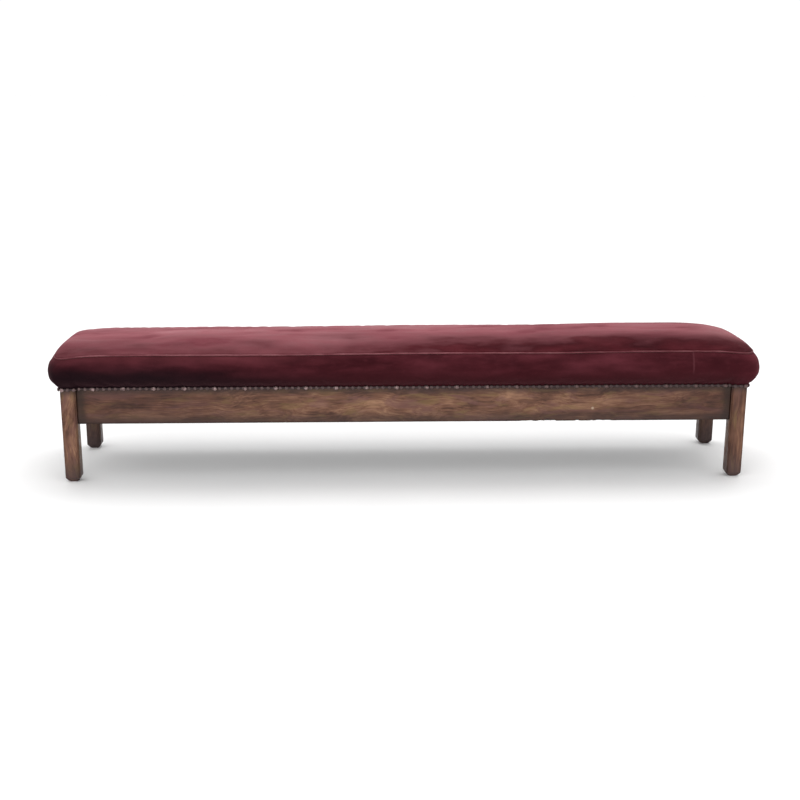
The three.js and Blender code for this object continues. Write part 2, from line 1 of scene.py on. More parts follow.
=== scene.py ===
"""Looks for a long backless hall bench: stuffed velvet seat, welted edge, nail-head trim, worn wooden frame.

Metres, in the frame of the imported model: +X along the bench, -Y the front, +Z up.
"""
import math

import bmesh
import bpy
import numpy as np
from mathutils import Euler, Matrix, Vector, noise


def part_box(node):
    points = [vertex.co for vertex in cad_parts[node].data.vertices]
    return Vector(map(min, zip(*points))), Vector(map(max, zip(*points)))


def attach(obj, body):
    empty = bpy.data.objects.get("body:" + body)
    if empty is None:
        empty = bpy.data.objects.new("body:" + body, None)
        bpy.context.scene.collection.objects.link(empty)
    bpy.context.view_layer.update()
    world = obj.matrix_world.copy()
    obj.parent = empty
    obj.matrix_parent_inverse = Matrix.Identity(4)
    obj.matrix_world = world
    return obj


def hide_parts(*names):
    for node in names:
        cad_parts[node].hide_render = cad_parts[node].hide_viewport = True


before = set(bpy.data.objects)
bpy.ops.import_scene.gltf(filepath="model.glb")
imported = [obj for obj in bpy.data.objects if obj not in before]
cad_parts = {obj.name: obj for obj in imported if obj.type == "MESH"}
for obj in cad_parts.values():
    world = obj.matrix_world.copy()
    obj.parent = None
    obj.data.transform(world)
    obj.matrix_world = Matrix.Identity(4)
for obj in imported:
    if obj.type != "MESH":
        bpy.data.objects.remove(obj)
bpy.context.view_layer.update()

MM = 0.001

# ---------------------------------------------------------------- sizes read from the frame

LEG_LOW, LEG_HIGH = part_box("leg_front_left")
HALF_LENGTH = -LEG_LOW.x
HALF_DEPTH = -LEG_LOW.y
LEG_INNER_X = -LEG_HIGH.x
LEG_INNER_Y = -LEG_HIGH.y
LEG_MIDDLE_X = (HALF_LENGTH + LEG_INNER_X) / 2
LEG_MIDDLE_Y = (HALF_DEPTH + LEG_INNER_Y) / 2
LEG_HALF = (HALF_LENGTH - LEG_INNER_X) / 2
FRAME_TOP = LEG_HIGH.z
RAIL_OUT_Y = -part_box("front_rail")[0].y
RAIL_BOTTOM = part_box("front_rail")[0].z
SETBACK = HALF_DEPTH - RAIL_OUT_Y

WELT_LOW, WELT_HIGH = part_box("welt")
WELT_RADIUS = (WELT_HIGH.z - WELT_LOW.z) / 2
WELT_Z = (WELT_HIGH.z + WELT_LOW.z) / 2
SEAM_X = WELT_HIGH.x - WELT_RADIUS
SEAM_Y = WELT_HIGH.y - WELT_RADIUS
SEAM_OUT = SEAM_X - HALF_LENGTH

WIDEST_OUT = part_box("velvet_border")[1].x - HALF_LENGTH
CROWN_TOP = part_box("velvet_seat")[1].z
STRIP_LOW, STRIP_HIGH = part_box("nail_strip_front")
STRIP_HALF_X = STRIP_HIGH.x
STRIP_HALF_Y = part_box("nail_strip_right")[1].y
STRIP_Z = (STRIP_LOW.z + STRIP_HIGH.z) / 2
STRIP_TOP = STRIP_HIGH.z
CLOTH_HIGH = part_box("bottom_cloth")[1]

# ---------------------------------------------------------------- sizes of the upholstery

COVER_THICKNESS = 2.4 * MM
COVER_GAP = 0.3 * MM
CELL = 11 * MM  # cloth cells before the last subdivision
CORNER_SHARP = 2.5 * MM  # plan radius where the cover wraps a leg
CORNER_SOFT = 28 * MM  # added to it higher up
STEP_RAMP = 7 * MM
NAIL_PITCH = 100 * MM
HEAD_PITCH = 20 * MM
NAIL_RADIUS = 6.5 * MM
NAIL_HEIGHT = 4.2 * MM


# ---------------------------------------------------------------- small helpers

def smoothstep(value, low, high):
    share = np.clip((value - low) / (high - low), 0.0, 1.0)
    return share * share * (3.0 - 2.0 * share)


def bump_at(value, middle, width):
    """A smooth hump of height 1 at middle, about width wide."""
    return np.exp(-(((value - middle) / width) ** 2))


def ripples(points, size, seed=0.0):
    """Smooth noise, about -1 to 1, whose lumps are about size metres (one number or one for each axis)."""
    scaled = np.asarray(points, float) / np.asarray(size, float) + seed
    return np.array([noise.noise(p) for p in scaled.tolist()])


def layered_ripples(points, layers):
    """Ripples added up, from a height, a size and a seed for each layer."""
    return sum(height * ripples(points, size, seed) for height, size, seed in layers)


def link(name, data):
    made = bpy.data.objects.new(name, data)
    bpy.context.scene.collection.objects.link(made)
    return made


def mesh_from(name, points, faces):
    mesh = bpy.data.meshes.new(name)
    mesh.from_pydata(np.asarray(points, float).tolist(), [], faces)
    mesh.update()
    return mesh


def link_piece(mesh, node):
    """Makes a mesh a smooth piece of the bench, named as the mesh is, in place of a CAD node."""
    mesh.polygons.foreach_set("use_smooth", [True] * len(mesh.polygons))
    piece = link(mesh.name, mesh)
    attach(piece, "root")
    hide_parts(node)
    return piece


def coordinates(mesh, kind="co"):
    """The vertices' coordinates, or another of their vectors, a row for each."""
    flat = np.zeros(len(mesh.vertices) * 3, np.float32)
    mesh.vertices.foreach_get(kind, flat)
    return flat.reshape(-1, 3).astype(float)


def normals(mesh):
    return coordinates(mesh, "normal")


def set_coordinates(mesh, points):
    mesh.vertices.foreach_set("co", np.asarray(points, np.float32).ravel())
    mesh.update()


def push_out(mesh, distance):
    """Moves each vertex out along its normal."""
    set_coordinates(mesh, coordinates(mesh) + normals(mesh) * distance[:, None])


def set_all(target, settings):
    """Sets each named property of the target."""
    for key, value in settings.items():
        setattr(target, key, value)


def modify(piece, kind, **settings):
    """Replaces the piece's mesh by what a modifier makes of it."""
    set_all(piece.modifiers.new(kind, kind), settings)
    bpy.context.view_layer.update()
    shaped = piece.evaluated_get(bpy.context.evaluated_depsgraph_get())
    mesh = bpy.data.meshes.new_from_object(shaped)
    piece.modifiers.clear()
    old = piece.data
    piece.data = mesh
    bpy.data.meshes.remove(old)
    mesh.name = piece.name


def subdivide(piece):
    modify(piece, "SUBSURF", levels=1, boundary_smooth="PRESERVE_CORNERS")


def thicken(piece, thickness):
    """Gives a sheet its thickness on its inner side, closed round its edges."""
    modify(piece, "SOLIDIFY", thickness=thickness, offset=-1.0, use_even_offset=True)


def grid_faces(rows, columns, closed=False, wrapped=False):
    """Quads over a grid of points, row after row. closed joins the last column to the first, and
    wrapped the last row to the first."""
    faces = []
    for r in range(rows if wrapped else rows - 1):
        for c in range(columns if closed else columns - 1):
            after = (c + 1) % columns
            lower, upper = r * columns, (r + 1) % rows * columns
            faces.append((lower + c, lower + after, upper + after, upper + c))
    return faces


# ---------------------------------------------------------------- how the stuffing has settled

RIGHT_RISE, RIGHT_RISE_SPAN = 5.5 * MM, (0.20, 0.80)  # fuller to the right
LEFT_DIP, LEFT_DIP_SPAN = 13 * MM, (-0.95, -0.66)  # flatter at the left end


def settled(x):
    """How far the top has risen or sunk along the bench."""
    return RIGHT_RISE * smoothstep(x, *RIGHT_RISE_SPAN) - LEFT_DIP * (1.0 - smoothstep(x, *LEFT_DIP_SPAN))


SEAM_WAVES = ((1.6 * MM, 2.3, 0.4), (0.8 * MM, 7.1, 1.3))  # height, radians for each metre, start
SEAM_LIFT, SEAM_LIFT_SPAN = 2.5 * MM, (0.45, 0.85)
REAR_SINK = 10 * MM  # the rear of the seat has been sat lower than the front
CORNER_REACH = 85 * MM
CORNER_SINKS = {(-1, -1): 11 * MM, (1, -1): 8 * MM, (1, 1): 9 * MM, (-1, 1): 6 * MM}
LUMPS = ((1.5 * MM, 0.24, 3.1), (0.7 * MM, 0.085, 7.7))  # height, size, seed


def seam_sway(x, y):
    """How far the welt, and the seat with it, lies above its level line: it wanders along the bench,
    the rear has sunk, and the corners have dropped."""
    sway = sum(height * np.sin(x * pace + start) for height, pace, start in SEAM_WAVES)
    sway += SEAM_LIFT * smoothstep(x, *SEAM_LIFT_SPAN)
    sway -= REAR_SINK * smoothstep(y, -0.7 * HALF_DEPTH, HALF_DEPTH)
    for (side_x, side_y), sink in CORNER_SINKS.items():
        away = np.hypot(x - side_x * SEAM_X, y - side_y * SEAM_Y)
        sway -= sink * np.exp(-(away / CORNER_REACH) ** 2)
    return sway


def sway_with_seam(points):
    """Moves points below the seam with it, the more the nearer they are."""
    share = smoothstep(points[:, 2], FRAME_TOP + 30 * MM, WELT_Z - 2 * MM)
    points[:, 2] += share * seam_sway(points[:, 0], points[:, 1])


def fullness(points):
    """Unevenness of the stuffing felt through the cover, outwards."""
    return layered_ripples(points, LUMPS)


# ---------------------------------------------------------------- outlines of the cover

def softening(z, low, high):
    return float(smoothstep(z, FRAME_TOP + low, FRAME_TOP + high))


def corner_radius(out, z):
    sharp = max(CORNER_SHARP + out, CORNER_SHARP)
    return sharp + CORNER_SOFT * softening(z, -10 * MM, 60 * MM)


def side_places(half_flat, ramp_end):
    """Places along one side from one leg's inner face to the other's, with the ramps at both ends."""
    count = max(4, round(2 * ramp_end / CELL))
    return np.concatenate([[-half_flat], np.linspace(-ramp_end, ramp_end, count), [half_flat]])


LEG_STEPS = 3
ARC_STEPS = 7


def turned(points, quarter):
    """From (along, out, up) on one side to the row frame: quarter 0 is the front, then right, rear, left."""
    along, out, up = points[..., 0], points[..., 1], points[..., 2]
    x, y = {0: (along, -out), 1: (out, along), 2: (-along, out), 3: (-out, -along)}[quarter]
    return np.stack([x, y, up], axis=-1)


def level_outline(out, z, back):
    """One level outline of the border, anticlockwise from the right end. out is its distance outside
    the leg faces, and back how far it steps in between the legs."""
    radius = corner_radius(out, z)
    across = (HALF_DEPTH + out, HALF_LENGTH + out, LEG_INNER_Y, LEG_INNER_X)
    along_bench = (HALF_LENGTH + out, HALF_DEPTH + out, LEG_INNER_X, LEG_INNER_Y)
    parts = []
    for quarter in (1, 2, 3, 0):
        half_run, face, leg_inner, next_inner = across if quarter % 2 else along_bench
        along = side_places(leg_inner, leg_inner - STEP_RAMP)
        between_legs = np.abs(along) < leg_inner - STEP_RAMP / 2
        side = np.column_stack([along, face - np.where(between_legs, back, 0.0)])
        angles = np.linspace(0, math.pi / 2, ARC_STEPS + 1)
        arc = np.column_stack([half_run - radius + radius * np.sin(angles),
                               face - radius + radius * np.cos(angles)])
        lead = np.linspace(side[-1], arc[0], LEG_STEPS + 1)[1:-1]
        trail = np.linspace(arc[-1], (half_run, next_inner), LEG_STEPS + 1)[1:-1]
        flat = np.concatenate([side, lead, arc, trail])
        parts.append(turned(np.column_stack([flat, np.full(len(flat), z)]), quarter))
    return np.concatenate(parts)


def distance_inside(x, y, half_x, half_y, radius):
    """How far a point lies inside a rounded rectangle, and the nearest point on its outline."""
    qx = np.abs(x) - (half_x - radius)
    qy = np.abs(y) - (half_y - radius)
    in_corner = (qx > 0) & (qy > 0)
    reach = np.maximum(np.hypot(np.maximum(qx, 0), np.maximum(qy, 0)), 1e-9)
    depth = np.where(in_corner, radius - reach, radius - np.maximum(qx, qy))
    sx, sy = np.sign(x), np.sign(y)
    near_x = np.where(qx >= qy, sx * half_x, x)
    near_y = np.where(qx >= qy, y, sy * half_y)
    near_x = np.where(in_corner, sx * (half_x - radius + radius * qx / reach), near_x)
    near_y = np.where(in_corner, sy * (half_y - radius + radius * qy / reach), near_y)
    return depth, near_x, near_y


# ---------------------------------------------------------------- cloth

TAUTEN_FRAMES = 16
STUFFED_CLOTH = {
    "quality": 6, "mass": 0.3, "tension_stiffness": 18, "compression_stiffness": 18, "shear_stiffness": 8,
    "bending_stiffness": 0.6, "use_pressure": True, "uniform_pressure_force": 4, "shrink_min": -0.012,
}


def tauten(piece, held, cap):
    """Blows the cloth out over its stuffing with its held points fixed, and keeps each move within cap."""
    scene = bpy.context.scene
    before = coordinates(piece.data)
    group = piece.vertex_groups.new(name="held")
    group.add([int(i) for i in np.flatnonzero(held)], 1.0, "REPLACE")
    cloth = piece.modifiers.new("cloth", "CLOTH")
    set_all(cloth.settings, STUFFED_CLOTH)
    cloth.settings.vertex_group_mass = group.name
    cloth.settings.effector_weights.gravity = 0
    cloth.point_cache.frame_start = 1
    cloth.point_cache.frame_end = TAUTEN_FRAMES
    for number in range(1, TAUTEN_FRAMES + 1):
        scene.frame_set(number)
    shaped = piece.evaluated_get(bpy.context.evaluated_depsgraph_get())
    after = coordinates(shaped.data)
    piece.modifiers.clear()
    piece.vertex_groups.clear()
    scene.frame_set(1)
    move = after - before
    length = np.maximum(np.linalg.norm(move, axis=1), 1e-9)
    set_coordinates(piece.data, before + move * (np.minimum(length, cap) / length)[:, None])


# ---------------------------------------------------------------- the seat panel

SEAM_RADIUS = corner_radius(SEAM_OUT, WELT_Z)
PANEL_TUCK = 0.6 * MM  # panel edge inside the middle of the welt
PANEL_RIM = WELT_RADIUS + 0.5 * MM
SWELL = 4 * MM  # what a cloth may rise by when it is tautened
SEAM_ALLOWANCE = 10 * MM
CROWN_ROUNDNESS = 2.4
SETTLED_REACH = 120 * MM  # from the seam to where the top has settled in full
GATHERS = ((1.0, 17 * MM, 1.3), (0.6, 9 * MM, 5.2))  # height, size, seed


def crown(x, y):
    """Height of the stuffed top above its seam."""
    def rise(distance):
        share = np.clip(distance / SEAM_Y, 0.0, 1.0)
        return 1.0 - (1.0 - share) ** CROWN_ROUNDNESS
    end = rise(SEAM_X - np.abs(x))
    side = rise(SEAM_Y - np.abs(y))
    height = CROWN_TOP - WELT_Z - PANEL_RIM - SWELL
    return height * end ** 0.8 * side ** 0.9


def panel_surface(x, y):
    rim = WELT_Z + PANEL_RIM + seam_sway(x, y)
    depth, _, _ = distance_inside(x, y, SEAM_X, SEAM_Y, SEAM_RADIUS)
    inner = smoothstep(depth, 0.0, SETTLED_REACH)
    flat = np.column_stack([x, y, np.zeros_like(x)])
    return rim + crown(x, y) + inner * (settled(x) + fullness(flat))


def panel_grid():
    """An even grid over the rounded rectangle of the seam, squeezed round its corners."""
    half_x, half_y, radius = SEAM_X - PANEL_TUCK, SEAM_Y - PANEL_TUCK, SEAM_RADIUS - PANEL_TUCK
    columns = np.linspace(-half_x, half_x, round(2 * half_x / CELL) + 1)
    rows = np.linspace(-half_y, half_y, round(2 * half_y / CELL) + 1)
    x, y = np.meshgrid(columns, rows)
    a = np.clip((np.abs(x) - (half_x - radius)) / radius, 0, 1)
    b = np.clip((np.abs(y) - (half_y - radius)) / radius, 0, 1)
    in_corner = (a > 0) & (b > 0)
    bent_x = np.sign(x) * (half_x - radius + radius * a * np.sqrt(1 - b * b / 2))
    bent_y = np.sign(y) * (half_y - radius + radius * b * np.sqrt(1 - a * a / 2))
    x, y = np.where(in_corner, bent_x, x), np.where(in_corner, bent_y, y)
    return x.ravel(), y.ravel(), len(rows), len(columns)


def pucker_seam(piece, reach, depth, nearness):
    """Fine gathers that run square to a seam and die away from it. nearness gives each point's distance
    from the seam and its nearest place on it."""
    away, place = nearness(coordinates(piece.data))
    fade = np.exp(-np.maximum(away, 0) / reach)
    push_out(piece.data, depth * layered_ripples(place, GATHERS) * fade)


def near_welt(points):
    depth, near_x, near_y = distance_inside(points[:, 0], points[:, 1], SEAM_X, SEAM_Y, SEAM_RADIUS)
    return depth, np.column_stack([near_x, near_y, np.zeros(len(points))])


def make_seat_panel():
    x, y, rows, columns = panel_grid()
    points = np.column_stack([x, y, panel_surface(x, y)])
    mesh = mesh_from("seat_panel", points, grid_faces(rows, columns))
    piece = link_piece(mesh, "velvet_seat")
    depth, _, _ = distance_inside(x, y, SEAM_X, SEAM_Y, SEAM_RADIUS)
    tauten(piece, depth < CELL / 2, SWELL)
    subdivide(piece)
    pucker_seam(piece, 16 * MM, 0.7 * MM, near_welt)
    thicken(piece, COVER_THICKNESS)
    return piece


# ---------------------------------------------------------------- the border

def catmull(knots, steps):
    """A smooth line through the knots, steps points to a span."""
    knots = np.asarray(knots, float)
    padded = np.vstack([2 * knots[0] - knots[1], knots, 2 * knots[-1] - knots[-2]])
    line = []
    for i in range(len(knots) - 1):
        p0, p1, p2, p3 = padded[i:i + 4]
        for t in np.linspace(0, 1, steps, endpoint=False):
            line.append(0.5 * (2 * p1 + (p2 - p0) * t + (2 * p0 - 5 * p1 + 4 * p2 - p3) * t * t
                               + (3 * p1 - p0 - 3 * p2 + p3) * t ** 3))
    line.append(knots[-1])
    return np.array(line)


TUCK_OUT = COVER_THICKNESS + 2 * COVER_GAP
TRIM_OUT = TUCK_OUT + COVER_GAP
BORDER_STEPS = 3


def border_profile():
    """The border's outer face: flat behind the trim, swelling over the rail, then in to the welt."""
    swell = WIDEST_OUT - TUCK_OUT
    top = WELT_Z - FRAME_TOP
    flat = [[TUCK_OUT, STRIP_Z - NECK_HALF], [TUCK_OUT, (STRIP_Z + STRIP_TOP) / 2],
            [TUCK_OUT, STRIP_TOP + 0.5 * MM]]
    swelling = [
        flat[-1],
        [TUCK_OUT + 0.36 * swell, FRAME_TOP - 4 * MM],
        [TUCK_OUT + 0.78 * swell, FRAME_TOP + 0.14 * top],
        [WIDEST_OUT, FRAME_TOP + 0.42 * top],
        [TUCK_OUT + 0.86 * swell, FRAME_TOP + 0.72 * top],
        [SEAM_OUT + 5 * MM, WELT_Z - 7 * MM],
        [SEAM_OUT + 1.6 * MM, WELT_Z - WELT_RADIUS - 0.3 * MM],
    ]
    return np.vstack([flat[:-1], catmull(swelling, BORDER_STEPS)])


def step_back(z):
    return SETBACK * (1.0 - softening(z, -12 * MM, 18 * MM))


def above_trim(points):
    """Like near_welt, for the trim. The cloth behind the trim itself counts as far off, and stays flat."""
    away = points[:, 2] - STRIP_TOP
    return np.where(away > 2 * MM, away, 1.0), points * (1, 1, 0)


def below_welt(points):
    return WELT_Z - points[:, 2], points * (1, 1, 0)


FOLD_DEPTH, FOLD_HEIGHT, FOLD_REACH = 1.8 * MM, 26 * MM, 45 * MM


def corner_nearness(points):
    """1 at the four corners of the bench, falling to 0 about a hand's width along each side."""
    dx = np.maximum(HALF_LENGTH - np.abs(points[:, 0]), 0)
    dy = np.maximum(HALF_DEPTH - np.abs(points[:, 1]), 0)
    return bump_at(dx + dy, 0, FOLD_REACH)


def fold_corners(piece):
    """Soft upright folds where the border turns each corner, deepest just above the trim."""
    points = coordinates(piece.data)
    angle = np.arctan2(np.abs(points[:, 1]) - LEG_INNER_Y, np.abs(points[:, 0]) - LEG_INNER_X)
    low = bump_at(points[:, 2], FRAME_TOP + 4 * MM, FOLD_HEIGHT)
    above = smoothstep(points[:, 2], STRIP_TOP, STRIP_TOP + 10 * MM)
    folds = np.cos(angle * 14) * 0.6 + np.cos(angle * 23 + points[:, 0]) * 0.4
    push_out(piece.data, FOLD_DEPTH * folds * corner_nearness(points) * low * above)


def make_border():
    rings = np.array([level_outline(out, z, step_back(z)) for out, z in border_profile()])
    sizes = rings.shape[:2]
    points = rings.reshape(-1, 3)
    height = points[:, 2].copy()
    free = smoothstep(height, STRIP_TOP, FRAME_TOP + 20 * MM)
    side = np.where(np.abs(points[:, 0]) > HALF_LENGTH, np.sign(points[:, 0]), 0)
    front = np.where(np.abs(points[:, 1]) > HALF_DEPTH - SETBACK, np.sign(points[:, 1]), 0)
    lump = free * (1 - smoothstep(height, WELT_Z - 12 * MM, WELT_Z)) * fullness(points)
    points[:, 0] += side * lump
    points[:, 1] += front * lump
    sway_with_seam(points)
    mesh = mesh_from("seat_border", points, grid_faces(*sizes, closed=True))
    piece = link_piece(mesh, "velvet_border")
    held = (height < STRIP_TOP + 1 * MM) | (height > WELT_Z - 5 * MM)
    tauten(piece, held, SWELL)
    subdivide(piece)
    fold_corners(piece)
    pucker_seam(piece, 22 * MM, 1.0 * MM, above_trim)
    pucker_seam(piece, 14 * MM, 0.6 * MM, below_welt)
    thicken(piece, COVER_THICKNESS)
    profile = border_profile()
    height = np.linalg.norm(np.diff(profile, axis=0), axis=1).sum() + SEAM_ALLOWANCE
    return piece


# ---------------------------------------------------------------- the welt

WELT_STEP = 4 * MM
WELT_SIDES = 12


def seam_line(step):
    """Points along the seam, evenly spaced, and the outward direction at each."""
    corners = []
    for k, (sx, sy) in enumerate(((1, 1), (-1, 1), (-1, -1), (1, -1))):
        angles = (k + np.linspace(0, 1, 24)) * math.pi / 2
        centre = np.array([sx * (SEAM_X - SEAM_RADIUS), sy * (SEAM_Y - SEAM_RADIUS)])
        corners.append(centre + SEAM_RADIUS * np.column_stack([np.cos(angles), np.sin(angles)]))
    line = np.concatenate([*corners, corners[0][:1]])
    along = np.concatenate([[0], np.cumsum(np.linalg.norm(np.diff(line, axis=0), axis=1))])
    places = np.linspace(0, along[-1], round(along[-1] / step), endpoint=False)
    points = np.column_stack([np.interp(places, along, line[:, k]) for k in (0, 1)])
    ahead = np.roll(points, -1, axis=0) - np.roll(points, 1, axis=0)
    ahead /= np.linalg.norm(ahead, axis=1)[:, None]
    return points, np.column_stack([ahead[:, 1], -ahead[:, 0]])


def make_welt():
    middle, outward = seam_line(WELT_STEP)
    rise = WELT_Z + seam_sway(middle[:, 0], middle[:, 1])
    place = np.column_stack([middle, np.zeros(len(middle))])
    radius = (WELT_RADIUS - 0.1 * MM) * (1 + 0.06 * ripples(place, 11 * MM, 2.0))
    wander = 0.5 * MM * ripples(place, 60 * MM, 9.0)
    rings = []
    for i in range(WELT_SIDES):
        angle = 2 * math.pi * i / WELT_SIDES
        across = middle + outward * (radius * math.cos(angle) + wander)[:, None]
        rings.append(np.column_stack([across, rise + radius * math.sin(angle)]))
    faces = grid_faces(WELT_SIDES, len(middle), closed=True, wrapped=True)
    return link_piece(mesh_from("seat_welt", np.concatenate(rings), faces), "welt")


# ---------------------------------------------------------------- the stuffing under the cover

STUFFING_GAP = 7 * MM
TOP_RINGS = 16
FIBRE_FUZZ, FIBRE_SIZE = 0.4 * MM, 12 * MM


def make_stuffing():
    """A closed pad that fills the cover, a little inside it, with the lumpy face of teased fibre."""
    inset = COVER_THICKNESS + STUFFING_GAP
    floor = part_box("stuffing")[0].z
    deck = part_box("hessian_deck")[1].z + COVER_GAP
    rings = [level_outline(-SETBACK - 30 * MM, deck, 0), level_outline(COVER_GAP, deck, SETBACK),
             level_outline(COVER_GAP, floor, SETBACK)]
    for out, z in border_profile():
        if z > floor + 2 * MM and z < WELT_Z - 8 * MM:
            rings.append(level_outline(max(out - inset, COVER_GAP), z, step_back(z)))
    top_edge = level_outline(SEAM_OUT - inset - 6 * MM, WELT_Z - 1 * MM, 0)
    rings.append(top_edge)
    for ring in rings:
        sway_with_seam(ring)
    for share in np.linspace(0.06, 0.94, TOP_RINGS):
        ring = top_edge.copy()
        inward = (SEAM_Y - inset) * share
        ring[:, 0] = np.sign(ring[:, 0]) * np.maximum(np.abs(ring[:, 0]) - inward, 0)
        ring[:, 1] = ring[:, 1] * (1 - share)
        ring[:, 2] = panel_surface(ring[:, 0], ring[:, 1]) - inset
        rings.append(ring)
    sizes = (len(rings), len(rings[0]))
    points = np.concatenate(rings)
    points += FIBRE_FUZZ * np.column_stack([ripples(points, FIBRE_SIZE, seed) for seed in (1.0, 2.0, 3.0)])
    faces = grid_faces(*sizes, closed=True)
    faces.append(tuple(reversed(range(sizes[1]))))
    faces.append(tuple(range((sizes[0] - 1) * sizes[1], sizes[0] * sizes[1])))
    return link_piece(mesh_from("seat_stuffing", points, faces), "stuffing")


# ---------------------------------------------------------------- nail-head trim

def trim_line(half_run, leg_inner, face):
    """The trim's path along one side: place along the side, distance out, and length along the path."""
    x = np.linspace(-half_run, half_run, round(2 * half_run / (0.25 * MM)))
    on_rail = 1 - smoothstep(np.abs(x), leg_inner - STEP_RAMP - 1 * MM, leg_inner - 0.5 * MM)
    out = face - SETBACK * on_rail
    along = np.concatenate([[0], np.cumsum(np.hypot(np.diff(x), np.diff(out)))])
    return x, out, along


STRIP_STEP = 1.25 * MM
STRIP_ROWS = 9
STRIP_BASE = 0.8 * MM
HEAD_RADIUS = 6.6 * MM
HEAD_HEIGHT = 3.4 * MM
NECK_HALF = 3.0 * MM
RIDGE_HEIGHT = 0.5 * MM
WAVER = 0.25 * MM  # of the band up and down
NAIL_SIDES, NAIL_LEVELS = 18, 6
NAIL_LIFT = 0.3 * MM
NAIL_DENT = 0.12 * MM
NAIL_TILT = 0.07  # rise for each metre across
NAIL_STRAY = 0.6 * MM


def pressed_band(half_run, leg_inner, face):
    """A metal band pressed into round heads joined by narrow necks, as points in (along, out, up),
    with how much each point is raised, from 0 on a neck to 1 on top of a head."""
    x, out, along = trim_line(half_run, leg_inner, face)
    count = round(along[-1] / STRIP_STEP)
    s = np.linspace(0, along[-1], count)
    px, po = np.interp(s, along, x), np.interp(s, along, out)
    tangent = np.column_stack([np.gradient(px), np.gradient(po)])
    tangent /= np.linalg.norm(tangent, axis=1)[:, None]
    outward = np.column_stack([-tangent[:, 1], tangent[:, 0]])
    from_head = (s - NAIL_RADIUS + HEAD_PITCH / 2) % HEAD_PITCH - HEAD_PITCH / 2
    chord = np.sqrt(np.clip(HEAD_RADIUS ** 2 - from_head ** 2, 0, None))
    half_width = np.maximum(chord, NECK_HALF)
    front, back, raised = [], [], []
    for v in np.linspace(-1, 1, STRIP_ROWS):
        up = v * half_width
        reach = np.hypot(from_head, up) / HEAD_RADIUS
        dome = HEAD_HEIGHT * np.sqrt(np.clip(1 - reach ** 2, 0, 1)) * smoothstep(1.02 - reach, 0, 0.12)
        ridge = RIDGE_HEIGHT * (1 - v * v) * (reach > 1)
        height = STRIP_Z + up + WAVER * np.sin(s * 31.0 + v)
        thick = STRIP_BASE + dome + ridge
        place = np.column_stack([px, po]) + outward * thick[:, None]
        front.append(np.column_stack([place, height]))
        back.append(np.column_stack([px, po, height]))
        raised.append(dome / HEAD_HEIGHT)
    return np.array(front + back[::-1]), np.array(raised + raised[::-1])


def band_faces(rows, columns):
    """A closed skin: the rows wrap round, and both ends are capped."""
    faces = grid_faces(rows, columns, wrapped=True)
    for end, turn in ((0, 1), (columns - 1, -1)):
        for r in range(rows // 2 - 1):
            quad = (r, r + 1, rows - 2 - r, rows - 1 - r)
            faces.append(tuple(k * columns + end for k in quad)[::turn])
    return faces


def nail_places(half_run, leg_inner):
    """Nails go on from the trim's first end at their pitch, with one at its last end, clear of the ramps."""
    end = half_run - NAIL_RADIUS
    places = [*np.arange(-end, end - 2 * NAIL_RADIUS, NAIL_PITCH), end]
    ramp_start, ramp_end = leg_inner - STEP_RAMP, leg_inner
    moved = []
    for x in places:
        size = abs(x)
        if ramp_start - NAIL_RADIUS < size < ramp_end + NAIL_RADIUS:
            near_rail = size < (ramp_start + ramp_end) / 2
            size = ramp_start - NAIL_RADIUS if near_rail else ramp_end + NAIL_RADIUS
        moved.append(math.copysign(size, x))
    return moved


def nail_head_points(random):
    """One hand-driven domed head about the origin, its face towards +out: points in (along, out, up)."""
    slope = np.linspace(0, math.pi / 2, NAIL_LEVELS)
    angle = 2 * math.pi * np.arange(NAIL_SIDES) / NAIL_SIDES
    radius = NAIL_RADIUS * np.cos(slope * 0.98)
    radius[0] *= 1.06
    height = np.repeat(NAIL_HEIGHT * np.sin(slope) + NAIL_LIFT, NAIL_SIDES)
    rings = [np.outer(radius, np.cos(angle)).ravel(), height, np.outer(radius, np.sin(angle)).ravel()]
    points = np.vstack([np.zeros(3), np.column_stack(rings), (0, NAIL_HEIGHT + NAIL_LIFT, 0)])
    dents = NAIL_DENT * ripples(points + random.uniform(0, 9, 3), 5 * MM)
    points[:, 1] += dents * (points[:, 1] > 1 * MM)
    tilt = random.uniform(-NAIL_TILT, NAIL_TILT, 2)
    points[:, 1] += tilt[0] * points[:, 0] + tilt[1] * points[:, 2]
    return points


def nail_head_faces(offset):
    """The faces of one head, whose first point is number offset: its back, its rings and its top."""
    top = 1 + NAIL_LEVELS * NAIL_SIDES
    faces = [tuple(offset + 1 + v for v in (a, d, c, b))
             for a, b, c, d in grid_faces(NAIL_LEVELS, NAIL_SIDES, closed=True)]
    for i in range(NAIL_SIDES):
        after = (i + 1) % NAIL_SIDES
        faces.append((offset, offset + 1 + i, offset + 1 + after))
        faces.append((offset + top - NAIL_SIDES + i, offset + top, offset + top - NAIL_SIDES + after))
    return faces


